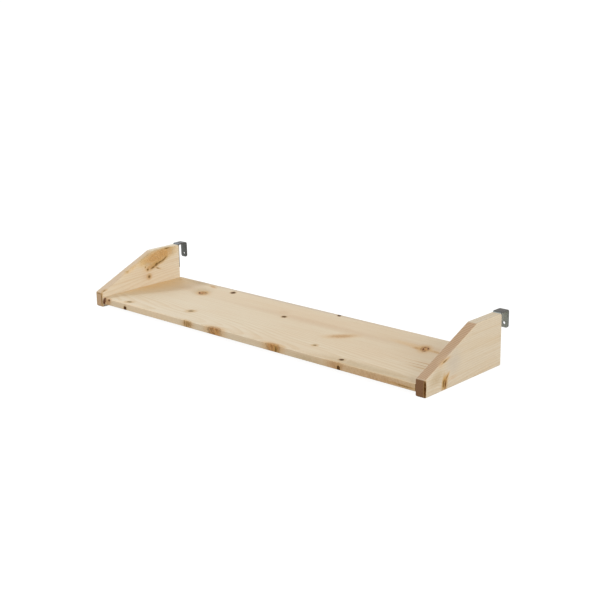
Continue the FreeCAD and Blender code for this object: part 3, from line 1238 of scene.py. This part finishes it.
@dataclass
class SidePanel:
    """One end of the shelf: low square front, long slope, flat top, rounded edges."""

    side: Side
    front_height: float = 32 * MM
    top_depth: float = 75 * MM
    edge_radius: float = 3 * MM
    back_edge_radius: float = 0.5 * MM
    bolt_bore_depth: float = 11.4 * MM
    bolt_bore_radius: float = 2.05 * MM
    dowel_bore_depth: float = 12 * MM
    dowel_bore_radius: float = 3.05 * MM
    screw_bore_radius: float = 2.3 * MM
    room: float = 0.4 * MM

    @property
    def node(self) -> str:
        """The node that the panel stands for."""
        return f"side_panel_{self.side.word}"

    def build(self) -> None:
        """Model the panel, drill it and dress it."""
        box = Box.of(self.node)
        low, high = box.low, box.high
        panel = BENCH.block(f"pine_side_{self.side.word}", low, high)
        kink_y = high.y - self.top_depth
        self.slope(panel, Vector((low.x, kink_y, high.z)), low.y)

        def outlines_a_face(start: Vector, end: Vector) -> bool:
            """Whether an edge bounds the inner, outer or front face, or is the slope's kink."""
            behind = Axis.Y.holds(high.y, start, end)
            on_face = Axis.X.holds(low.x, start, end) or Axis.X.holds(high.x, start, end)
            kink = Axis.Y.holds(kink_y, start, end)
            return Axis.Y.holds(low.y, start, end) or (not behind and (on_face or kink))

        def at_the_back(start: Vector, end: Vector) -> bool:
            """Whether an edge bounds the back."""
            return Axis.Y.holds(high.y, start, end)

        BENCH.round_edges(panel, outlines_a_face, self.edge_radius, segments=5)
        BENCH.round_edges(panel, at_the_back, self.back_edge_radius, segments=2)
        BENCH.cut(panel, self.drills(box))
        BENCH.smooth(panel)
        finish = self.right_finish() if self.side is Side.RIGHT else self.left_finish()
        install(panel, finish.material(), self.node)

    def slope(self, panel: bpy.types.Object, kink: Vector, front: float) -> None:
        """Saw the slope off the blank's upper front.

        Args:
            panel: the rectangular blank.
            kink: a point of the line where slope and flat top meet.
            front: the front face's Y.
        """
        across_cut = (0, self.front_height - kink.z, kink.y - front)
        BENCH.pick(panel)
        with BENCH.shaping():
            bpy.ops.mesh.bisect(plane_co=kink, plane_no=across_cut, use_fill=True, clear_outer=True)

    def drills(self, panel: Box) -> list[bpy.types.Object]:
        """What is drilled for the bolts, the dowels and the hook's screws.

        Args:
            panel: the panel's box.

        Returns:
            The drills.
        """
        outward = self.side.outward
        drills = []
        for kind, depth, radius in (("cam_bolt", self.bolt_bore_depth, self.bolt_bore_radius),
                                    ("dowel", self.dowel_bore_depth, self.dowel_bore_radius)):
            for place in FRONT_AND_BACK:
                mouth = Box.of(f"{kind}_{self.side.word}_{place}").middle
                mouth.x = self.side.inner_end(panel).x
                drills.append(BENCH.rod("drill", mouth - outward * MM, mouth + outward * depth, radius,
                                        ROUND_SIDES))
        for level in UPPER_AND_LOWER:
            screw = Box.of(f"hook_screw_{self.side.word}_{level}")
            mouth = Vector((screw.middle.x, panel.high.y + MM, screw.middle.z))
            foot = Vector((screw.middle.x, screw.low.y - self.room, screw.middle.z))
            drills.append(BENCH.rod("drill", mouth, foot, self.screw_bore_radius, ROUND_SIDES))
        return drills

    def right_finish(self) -> Pine:
        """Pine of the right panel: one long knot low on its outer face and a brown front.

        Returns:
            The pine.
        """
        knots = {
            Mark.DUSKY: (
                Knot((450, -94, 28), (6, 22, 13), 20),
            ),
            Mark.COOL: (
                Knot((450, -46, 46), (6, 24, 24)),
            ),
            Mark.TINGE: (
                Knot((450, -48, 17.5), (6, 11, 3.5)),
                Knot((450, -84, 48), (4, 6, 4)),
                Knot((450, -72, 55), (9, 18, 5), 8),
            ),
            Mark.BLUSH: (
                Knot((450, -65, 23), (9, 3.2, 8), -38),
            ),
            Mark.HEARTWOOD: (
                Knot((450, -72, 15), (9, 6, 10), -9),
            ),
            Mark.STREAK: (
                Knot((450, -74.4, 13), (9, 3.2, 10), -9),
                Knot((450, -69, 10.5), (9, 3.3, 11), -9),
                Knot((450, -65.5, 22), (9, 1.5, 6), -38),
                Knot((450, -71, 53), (5, 7.7, 1.3), 18),
            ),
            Mark.RUST: (
                Knot((450, -68.6, 12), (9, 1.3, 8), -9),
            ),
            Mark.DEAD_KNOT: (
                # A dark strip down the front face's outer edge and a dark line along its foot.
                Knot((448.9, -125.4, 15), (1.9, 1.8, 17)),
                Knot((440, -125.6, 0.4), (12, 1.5, 1.3)),
            ),
        }
        return Pine("knotty_pine_right", Grain.FRONT_TO_BACK, (-40.0, 512.0), knots,
                    end_tone=srgb(128, 90, 60), slope_tone=srgb(194, 158, 124), early=srgb(219, 208, 190),
                    late=srgb(202, 178, 143), warm=srgb(214, 195, 167))

    def left_finish(self) -> Pine:
        """Pine of the left panel: orange heartwood high on its inner face, with a dark streak.

        Returns:
            The pine.
        """
        knots = {
            Mark.AMBER: (
                Knot((-428, -7, 78), (8, 15, 9), 20),
                Knot((-429, -40, 73), (9, 28, 8), 24),
            ),
            Mark.TINGE: (
                Knot((-428, 3, 43), (8, 14, 8)),
            ),
            Mark.BLUSH: (
                Knot((-428, -14, 85.6), (8, 11, 4.2), 20),
                Knot((-428, 20, 66), (8, 22, 6), 16),
                Knot((-428, -35, 77.5), (8, 13, 4), 25),
            ),
            Mark.HEARTWOOD: (
                Knot((-428, 38, 85), (12, 46, 15), 8),
            ),
            Mark.STREAK: (
                Knot((-428, 8, 41.7), (8, 4.4, 4.0)),
                Knot((-428, 4.8, 58.4), (6, 3.2, 2.8)),
                Knot((-428, 20.3, 60.8), (6, 8, 2.6), 20),
                Knot((-428, 30, 65.6), (6, 8, 3.6), 26),
                Knot((-428, 41, 69), (6, 9, 2.6), 18),
                Knot((-428, 50.4, 72), (6, 8, 2.2), 25),
                Knot((-428, 58, 76.5), (6, 6, 1.7), 32),
                Knot((-428, 34, 56.6), (6, 5.8, 1.2), -22),
                Knot((-428, -52.5, 65.4), (6, 2.2, 1.9)),
                Knot((-428, -4.7, 95.6), (6, 2.2, 1.2)),
                Knot((-428, -1.6, 65.3), (6, 1.7, 1.4)),
                Knot((-428, 64, 97), (6, 9, 1.6)),
                Knot((-428, -120, 35), (5, 6, 1.2), 10),
                # Dark lines along the front face's two upright edges, its top and its foot.
                Knot((-448.6, -126, 17), (1.5, 3, 18)),
                Knot((-430.4, -126, 17), (1.4, 3, 16)),
                Knot((-439, -126, 29.2), (10, 3, 0.9)),
                Knot((-437, -126, 0.8), (10, 3, 1.0)),
            ),
        }
        return Pine("knotty_pine_left", Grain.FRONT_TO_BACK, (10.0, -366.0), knots,
                    end_tone=srgb(212, 180, 148), slope_tone=srgb(219, 193, 163),
                    slope_line=srgb(196, 164, 132), early=srgb(231, 219, 199),
                    late=srgb(212, 186, 152), warm=srgb(226, 206, 180), wear_and_highlight=srgb(222, 204, 178))


@dataclass
class Hook:
    """A flat steel strip bent in an upside-down U, punched for its screws and its lock."""

    side: Side
    plate: float = 3 * MM
    width: float = 18 * MM
    bend_radius: float = 1.5 * MM
    corner_radius: float = 5 * MM
    free_leg: float = 35.5 * MM
    lock_hole_radius: float = 2.75 * MM
    lock_hole_rise: float = 8.5 * MM
    screw_hole_radius: float = 2.5 * MM
    countersink_radius: float = 4.55 * MM
    eased: float = 0.3 * MM
    round_sides: int = 40

    @property
    def node(self) -> str:
        """The node that the hook stands for."""
        return f"hook_{self.side.word}"

    def build(self, finish: bpy.types.Material) -> None:
        """Bend the strip, punch it and dress it.

        Args:
            finish: the plated steel.
        """
        box = Box.of(self.node)
        hook = self.strip(box)
        free_end = box.high.z - self.free_leg

        def short_end(start: Vector, end: Vector) -> bool:
            """Whether an edge goes through the plate at a leg's end."""
            at_end = Axis.Z.holds(box.low.z, start, end) or Axis.Z.holds(free_end, start, end)
            return at_end and Axis.Y.runs(start, end)

        BENCH.round_edges(hook, short_end, self.corner_radius, segments=8)
        BENCH.cut(hook, self.punches(box, free_end))
        BENCH.ease(hook, self.eased, angle=40)
        BENCH.smooth(hook)
        install(hook, finish, self.node)

    def strip(self, box: Box) -> bpy.types.Object:
        """The bent strip: its section extruded up the free leg, spun, extruded across, spun, extruded down.

        Args:
            box: the hook's box.

        Returns:
            The strip with square ends.
        """
        low, high = box.low, box.high
        outer = self.bend_radius + self.plate
        start = Vector((box.middle.x, high.y - self.plate / 2, high.z - self.free_leg))
        BENCH.deselect()
        bpy.ops.mesh.primitive_plane_add(size=1, location=start)
        hook = BENCH.settle(f"steel_hook_{self.side.word}")
        with BENCH.shaping():
            bpy.ops.transform.resize(value=(self.width, self.plate, 1), center_override=start)
            across = high.y - low.y - outer * 2
            for travel, bend_y in (
                ((0, 0, self.free_leg - outer), high.y - outer),
                ((0, -across, 0), low.y + outer),
            ):
                bpy.ops.mesh.extrude_region_move(TRANSFORM_OT_translate={"value": travel})
                bpy.ops.mesh.spin(steps=10, angle=-math.pi / 2, center=(start.x, bend_y, high.z - outer),
                                  axis=(1, 0, 0))
            fall = high.z - outer - low.z
            bpy.ops.mesh.extrude_region_move(TRANSFORM_OT_translate={"value": (0, 0, -fall)})
        return hook

    def punches(self, box: Box, free_end: float) -> list[bpy.types.Object]:
        """What is punched and countersunk.

        Args:
            box: the hook's box.
            free_end: the height of the free leg's end.

        Returns:
            The punches.
        """
        back = Axis.Y.vector
        lock = Vector((box.middle.x, box.high.y - self.plate / 2, free_end + self.lock_hole_rise))
        punches = [BENCH.rod("punch", lock - back * self.plate, lock + back * self.plate,
                             self.lock_hole_radius, self.round_sides)]
        countersink = (
            (-MM, self.countersink_radius + MM),
            (self.countersink_radius - self.screw_hole_radius, self.screw_hole_radius),
            (self.plate + MM, self.screw_hole_radius),
        )
        for level in UPPER_AND_LOWER:
            screw = Box.of(f"hook_screw_{self.side.word}_{level}").middle
            mouth = Vector((box.middle.x, box.low.y + self.plate, screw.z))
            punches.append(BENCH.turn("punch", mouth, -back, countersink, self.round_sides))
        return punches


class Fittings:
    """A kind of fitting with two pieces a side: one is modelled, and copied to the other place."""

    node: ClassVar[str]
    piece: ClassVar[str]
    slot: ClassVar[str]
    places: ClassVar[tuple[str, str]] = FRONT_AND_BACK

    def model(self, side: Side, box: Box) -> bpy.types.Object:
        """One fitting on one side of the shelf, in its node's box."""
        raise NotImplementedError

    def build(self, finish: bpy.types.Material) -> None:
        """Model and dress the four pieces.

        Args:
            finish: their finish.
        """
        for side in Side:
            first, second = (f"{side.word}_{place}" for place in self.places)
            box = Box.of(f"{self.node}_{first}")
            original = self.model(side, box)
            original.name = original.data.name = f"{self.piece}_{first}"
            shift = Box.of(f"{self.node}_{second}").low - box.low
            twin = BENCH.copy(original, f"{self.piece}_{second}", shift)
            install(original, finish, f"{self.node}_{first}")
            install(twin, finish, f"{self.node}_{second}")


@dataclass
class HookScrews(Fittings):
    """The four countersunk wood screws that hold the hooks to the panels."""

    node: ClassVar[str] = "hook_screw"
    piece: ClassVar[str] = "wood_screw"
    slot: ClassVar[str] = "screw_steel"
    places: ClassVar[tuple[str, str]] = UPPER_AND_LOWER
    head_radius: float = 4.5 * MM
    head_height: float = 2.55 * MM
    head_bevel: float = 0.12 * MM
    head_rim: float = 0.35 * MM
    shank_radius: float = 2 * MM
    shank_length: float = 15 * MM
    shank_end: float = 0.5 * MM
    core_radius: float = 1.55 * MM
    crest_radius: float = 2.25 * MM
    pitch: float = 2.2 * MM
    tip: float = 6 * MM
    point: float = 2 * MM
    point_radius: float = 0.75 * MM
    point_end_radius: float = 0.05 * MM
    recess_span: float = 4.6 * MM
    recess_width: float = 0.95 * MM
    recess_depth: float = 1.7 * MM

    def model(self, side: Side, box: Box) -> bpy.types.Object:
        """One screw: countersunk head with a cross recess, shank, threaded part and point.

        Args:
            side: the side of the shelf; it is not used.
            box: the screw's box.

        Returns:
            The screw.
        """
        length = box.size.y
        inward = -Axis.Y.vector
        seat = Vector((box.middle.x, box.high.y, box.middle.z))
        screw = BENCH.turn("wood_screw", seat, inward, (
            (0.0, self.head_radius - self.head_bevel),
            (self.head_bevel, self.head_radius),
            (self.head_rim, self.head_radius),
            (self.head_height, self.shank_radius),
            (self.shank_length, self.shank_radius),
            (self.shank_length + self.shank_end, self.core_radius),
            (length - self.tip, self.core_radius),
            (length - self.point, self.point_radius),
            (length, self.point_end_radius),
        ), ROUND_SIDES)
        depth = 2 * self.recess_depth
        BENCH.stamp(screw, seat, Vector((self.recess_span, depth, self.recess_width)),
                    Vector((self.recess_width, depth, self.recess_span)))
        BENCH.smooth(screw)
        thread_start = self.shank_length + MM
        BENCH.thread(screw, seat + inward * thread_start, inward, self.core_radius, self.crest_radius,
                     self.pitch, length - self.tip - thread_start)
        return screw


@dataclass
class CamBolts(Fittings):
    """The four bolts that stand out of the panels into the board, for the cam locks to grip."""

    node: ClassVar[str] = "cam_bolt"
    piece: ClassVar[str] = "bolt"
    slot: ClassVar[str] = "bolt_steel"
    core_radius: float = 1.5 * MM
    crest_radius: float = 2 * MM
    neck_radius: float = 1.65 * MM
    neck_length: float = 3 * MM
    head_radius: float = 3 * MM
    head_length: float = 2.4 * MM
    head_bevel: float = 0.2 * MM
    thread_length: float = 10 * MM
    pitch: float = 1.25 * MM
    end_bevel: float = 0.5 * MM
    step: float = 0.4 * MM
    recess_depth: float = 1.2 * MM
    recess_span: float = 3.4 * MM
    recess_width: float = 0.7 * MM

    def model(self, side: Side, box: Box) -> bpy.types.Object:
        """One bolt: threaded end, rod, neck and round head.

        Args:
            side: the panel that it stands in.
            box: the bolt's box.

        Returns:
            The bolt.
        """
        length = box.size.x
        inward = -side.outward
        end = side.outer_end(box)
        neck_end = length - self.head_length
        neck_start = neck_end - self.neck_length
        bolt = BENCH.turn("bolt", end, inward, (
            (0.0, self.core_radius - self.end_bevel),
            (self.end_bevel, self.core_radius),
            (self.thread_length, self.core_radius),
            (self.thread_length + self.step, self.crest_radius),
            (neck_start, self.crest_radius),
            (neck_start + self.step, self.neck_radius),
            (neck_end, self.neck_radius),
            (neck_end, self.head_radius - self.head_bevel),
            (neck_end + self.head_bevel, self.head_radius),
            (length - self.end_bevel, self.head_radius),
            (length, self.head_radius - self.end_bevel),
        ), ROUND_SIDES)
        depth = 2 * self.recess_depth
        BENCH.stamp(bolt, end + inward * length, Vector((depth, self.recess_span, self.recess_width)),
                    Vector((depth, self.recess_width, self.recess_span)))
        BENCH.smooth(bolt)
        BENCH.thread(bolt, end + inward * MM, inward, self.core_radius, self.crest_radius, self.pitch,
                     self.thread_length - MM)
        return bolt


@dataclass
class CamLocks(Fittings):
    """The four cast cams in the board's underside, open to their bolts' heads."""

    node: ClassVar[str] = "cam_lock"
    piece: ClassVar[str] = "cam"
    slot: ClassVar[str] = "cam_zinc"
    edge_bevel: float = 0.35 * MM
    grip_radius: float = 3.3 * MM
    eccentricity: float = 0.3 * MM
    slot_sweep: float = 200.0
    rod_room: float = 2.1 * MM
    head_room: float = 3.1 * MM
    bolt_height: float = 15 * MM
    drive: Vector = in_mm(7, 1.4, 4)
    cross: Vector = in_mm(1.4, 5, 3)
    arrow_out: float = 4.6 * MM
    arrow_depth: float = 0.35 * MM
    arrow_radius: float = 0.9 * MM

    def model(self, side: Side, box: Box) -> bpy.types.Object:
        """One cam: a drum with an open cavity, a curved slot, a square mouth and a driver's cross.

        Args:
            side: the end of the board that it lies in.
            box: the cam's box.

        Returns:
            The cam.
        """
        up = Axis.Z.vector
        foot = Vector((box.middle.x, box.middle.y, box.low.z))
        radius, height = box.size.x / 2, box.size.z
        cam = BENCH.rod("cam", foot, foot + up * height, radius, sides=56)
        BENCH.ease(cam, self.edge_bevel, angle=60)
        level = Vector((foot.x, foot.y, self.bolt_height))
        cavity_foot = level - up * self.head_room - side.outward * self.eccentricity
        cavity = BENCH.rod("punch", cavity_foot, cavity_foot + up * 2 * height,
                           self.grip_radius + self.eccentricity, sides=40)
        lead_in = math.degrees(math.asin(self.rod_room / self.grip_radius))
        heading = -lead_in if side is Side.RIGHT else 180 - lead_in
        mouth_at = math.radians(heading + self.slot_sweep - lead_in)
        reach = radius + MM
        BENCH.cut(cam, [cavity, self.sector(level, reach, heading), self.mouth(level, reach, mouth_at)])
        BENCH.stamp(cam, foot, self.drive, self.cross)
        arrow_at = foot + side.outward * self.arrow_out
        BENCH.cut(cam, [BENCH.rod("punch", arrow_at - up * self.arrow_depth, arrow_at + up * self.arrow_depth,
                                  self.arrow_radius, sides=3)])
        BENCH.smooth(cam)
        return cam

    def sector(self, level: Vector, reach: float, heading: float) -> bpy.types.Object:
        """The cut of the curved slot: an upright rectangle spun about the cam's axis.

        Args:
            level: the cam's axis at the bolt's height.
            reach: how far out it goes.
            heading: where it starts, in degrees from X.

        Returns:
            The cutter.
        """
        inner = MM
        start = math.radians(heading)
        BENCH.deselect()
        bpy.ops.mesh.primitive_plane_add(size=1)
        cutter = bpy.context.active_object
        cutter.scale = (reach - inner, 2 * self.rod_room, 1)
        cutter.rotation_euler = (math.pi / 2, 0, start)
        cutter.location = level + Vector((math.cos(start), math.sin(start), 0)) * (inner + reach) / 2
        BENCH.settle("punch")
        with BENCH.shaping():
            bpy.ops.mesh.spin(steps=24, angle=-math.radians(self.slot_sweep), center=level, axis=(0, 0, 1))
        return cutter

    def mouth(self, level: Vector, reach: float, heading: float) -> bpy.types.Object:
        """The square mouth that lets the bolt's head in.

        Args:
            level: the cam's axis at the bolt's height.
            reach: how far out it goes.
            heading: the way it opens, in radians from X.

        Returns:
            The cutter.
        """
        cutter = BENCH.block("punch", Vector((0, -self.head_room, -self.head_room)),
                             Vector((reach, self.head_room, 3 * self.head_room)))
        cutter.rotation_euler = (0, 0, heading)
        cutter.location = level
        return BENCH.settle("punch")


@dataclass
class Dowels(Fittings):
    """The four fluted beech dowels."""

    node: ClassVar[str] = "dowel"
    piece: ClassVar[str] = "peg"
    slot: ClassVar[str] = "dowel_beech"
    radius: float = 3 * MM
    flutes: int = 12
    flute_depth: float = 0.35 * MM
    chamfer: float = 0.8 * MM

    def model(self, side: Side, box: Box) -> bpy.types.Object:
        """One dowel: a rod with every fourth line pressed in and its ends chamfered.

        Args:
            side: the side of the shelf; it is not used.
            box: the dowel's box.

        Returns:
            The dowel.
        """
        middle = box.middle
        ends = [Vector((x, middle.y, middle.z)) for x in (box.low.x, box.high.x)]
        dowel = BENCH.rod("peg", *ends, self.radius, sides=self.flutes * 4)
        pitch = 2 * math.pi / self.flutes

        def in_a_flute(first: Vector, second: Vector) -> bool:
            """Whether an edge runs along the bottom of a flute."""
            turn = math.atan2(first.z - middle.z, first.y - middle.y) / pitch
            return Axis.X.runs(first, second) and abs(turn - round(turn)) < 0.1

        def round_an_end(first: Vector, second: Vector) -> bool:
            """Whether an edge goes round an end."""
            return any(Axis.X.holds(end.x, first, second) for end in ends)

        BENCH.choose(dowel, in_a_flute)
        press = 1 - self.flute_depth / self.radius
        bpy.ops.transform.resize(value=(1, press, press), center_override=middle)
        bpy.ops.object.mode_set(mode="OBJECT")
        BENCH.round_edges(dowel, round_an_end, self.chamfer, segments=2)
        BENCH.smooth(dowel)
        return dowel


@dataclass(frozen=True)
class Lamp:
    """A square lamp that faces the shelf.

    Its level is how bright it makes a white surface that faces it, where 1 is white.
    """

    name: str
    toward: Place
    distance: float
    size: float
    level: float
    tint: Colour

    def hang(self, centre: Place) -> None:
        """Hang the lamp and report it.

        Args:
            centre: the point that it faces and is counted from.
        """
        way = Vector(self.toward).normalized()
        BENCH.deselect()
        bpy.ops.object.light_add(type="AREA", location=Vector(centre) + way * self.distance,
                                 rotation=way.to_track_quat("Z", "Y").to_euler())
        lamp = bpy.context.active_object
        lamp.name = self.name
        lamp.data.shape = "SQUARE"
        lamp.data.size = self.size
        lamp.data.color = self.tint
        lamp.data.energy = self.level * (math.pi * self.distance) ** 2
        LOG.info("%s at %.2f", self.name, self.level)


@dataclass
class Studio:
    """Plain pale floor, soft light and the camera of the photograph."""

    azimuth: float = 43.3663
    pitch: float = 15.7946
    roll: float = -1.1507
    lens: float = 69.544
    sensor: float = 36.0
    nearest: float = 0.05
    eye: Place = (1.55651, -1.59966, 0.69583)
    floor_reach: float = 80.0
    floor_drop: float = 0.2 * MM
    floor_tone: Colour = srgb(226, 224, 220)
    floor_shade: Colour = (0.16, 0.16, 0.16)
    floor_glow: float = 0.95
    sky_tint: Colour = (1.0, 0.93, 0.84)
    sky_level: float = 0.62
    centre: Place = (-0.4, 0.0, 0.06)
    white: Colour = (1.0, 1.0, 1.0)
    lamps: tuple[Lamp, ...] = (
        Lamp("key_light", (-0.783, -0.158, 0.601), 6.0, 0.8, 0.29, (0.8, 1.0, 1.2)),
        Lamp("back_light", (-0.74, 0.41, 0.53), 6.0, 1.6, 0.18, (0.8, 1.0, 1.2)),
        Lamp("fill_light", (0.95, -0.15, 0.3), 9.0, 5.0, 0.36, (0.97, 0.97, 0.93)),
    )

    def build(self) -> None:
        """Set up floor, light and camera."""
        self.floor()
        self.sky()
        for lamp in self.lamps:
            lamp.hang(self.centre)
        self.camera()
        bpy.context.scene.view_settings.view_transform = "Standard"

    def seen_as_backdrop(self, recipe: Recipe) -> Signal:
        """Where a ray comes from the camera, or from metal or glass, which show the backdrop too.

        Args:
            recipe: the recipe that asks.

        Returns:
            1 for such a ray and 0 for the rest.
        """
        paths = recipe.node("ShaderNodeLightPath").outputs
        seen, glossy, passed = (Signal(recipe, paths[f"Is {kind} Ray"])
                                for kind in ("Camera", "Glossy", "Transmission"))
        return seen.most(glossy, passed)

    def sky(self) -> None:
        """White all round for the eye, and a soft warm light for the shelf."""
        world = bpy.data.worlds.new("studio")
        bpy.context.scene.world = world
        world.use_nodes = True
        recipe = Recipe(world.node_tree)
        light = recipe.node("ShaderNodeBackground", feeds={
            "Color": self.sky_tint, "Strength": self.sky_level})
        white = recipe.node("ShaderNodeBackground", feeds={"Color": self.white, "Strength": 1.0})
        both = recipe.node("ShaderNodeMixShader", feeds={
            0: self.seen_as_backdrop(recipe), 1: light.outputs[0], 2: white.outputs[0]})
        recipe.node("ShaderNodeOutputWorld", feeds={"Surface": both.outputs[0]})

    def floor(self) -> None:
        """A pale floor that the eye sees white, with the shelf's faint shadow on it."""
        BENCH.deselect()
        bpy.ops.mesh.primitive_plane_add(size=2 * self.floor_reach, location=(0, 0, -self.floor_drop))
        floor = BENCH.settle("studio_floor")
        material, recipe = Recipe.for_material("pale_floor")
        matt = recipe.node("ShaderNodeBsdfDiffuse", feeds={"Color": self.floor_tone})
        faint = recipe.node("ShaderNodeBsdfDiffuse", feeds={"Color": self.floor_shade})
        glow = recipe.node("ShaderNodeEmission", feeds={"Color": self.white, "Strength": self.floor_glow})
        shown = recipe.node("ShaderNodeAddShader", feeds={0: faint.outputs[0], 1: glow.outputs[0]})
        both = recipe.node("ShaderNodeMixShader", feeds={
            0: self.seen_as_backdrop(recipe), 1: matt.outputs[0], 2: shown.outputs[0]})
        recipe.node("ShaderNodeOutputMaterial", feeds={"Surface": both.outputs[0]})
        floor.data.materials.append(material)

    def camera(self) -> None:
        """Stand the camera where the photograph was taken from."""
        turn, tip, lean = (math.radians(angle) for angle in (self.azimuth, self.pitch, self.roll))
        back = Vector((math.sin(turn) * math.cos(tip), -math.cos(turn) * math.cos(tip), math.sin(tip)))
        right = Vector((math.cos(turn), math.sin(turn), 0))
        above = back.cross(right)
        leaning_right = right * math.cos(lean) + above * math.sin(lean)
        leaning_up = above * math.cos(lean) - right * math.sin(lean)
        BENCH.deselect()
        bpy.ops.object.camera_add(location=self.eye)
        camera = bpy.context.active_object
        camera.name = "photo_camera"
        camera.rotation_euler = Matrix((leaning_right, leaning_up, back)).transposed().to_euler()
        camera.data.sensor_width = self.sensor
        camera.data.lens = self.lens
        camera.data.clip_start = self.nearest
        camera.data.clip_end = 2 * self.floor_reach
        bpy.context.scene.camera = camera
        LOG.info("camera at %s", tuple(round(value, 3) for value in self.eye))


def main() -> None:
    """Build the studio, then the shelf piece by piece."""
    logging.basicConfig(level=logging.INFO, format="%(message)s")
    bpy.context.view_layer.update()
    Studio().build()
    ShelfBoard().build()
    for side in Side:
        SidePanel(side).build()
    # The hooks' tops are darkened partly as tarnish and partly as a painted dark reflection, and their sides
    # take a painted shade.
    dark_plating = PlatedSteel("plated_hook_left", srgb(110, 111, 108), srgb(82, 84, 81), stain=0.9,
                               rub=0.25, edge_shade=0.6)
    pale_plating = PlatedSteel("plated_hook_right", srgb(180, 186, 182), srgb(150, 156, 152), stain=0.95,
                               rub=0.25, edge_shade=0.8)
    screw_plating = PlatedSteel("plated_screw_steel", srgb(190, 184, 160), srgb(160, 152, 128),
                                roughness=0.3)
    bolt_plating = PlatedSteel("plated_bolt_steel", srgb(176, 180, 184), srgb(140, 144, 150),
                               roughness=0.32)
    Hook(Side.LEFT).build(dark_plating.material())
    Hook(Side.RIGHT).build(pale_plating.material())
    HookScrews().build(screw_plating.material())
    CamBolts().build(bolt_plating.material())
    CamLocks().build(CastZinc("cast_zinc").material())
    Dowels().build(TurnedBeech("turned_beech").material())


if __name__ == "__main__":
    main()
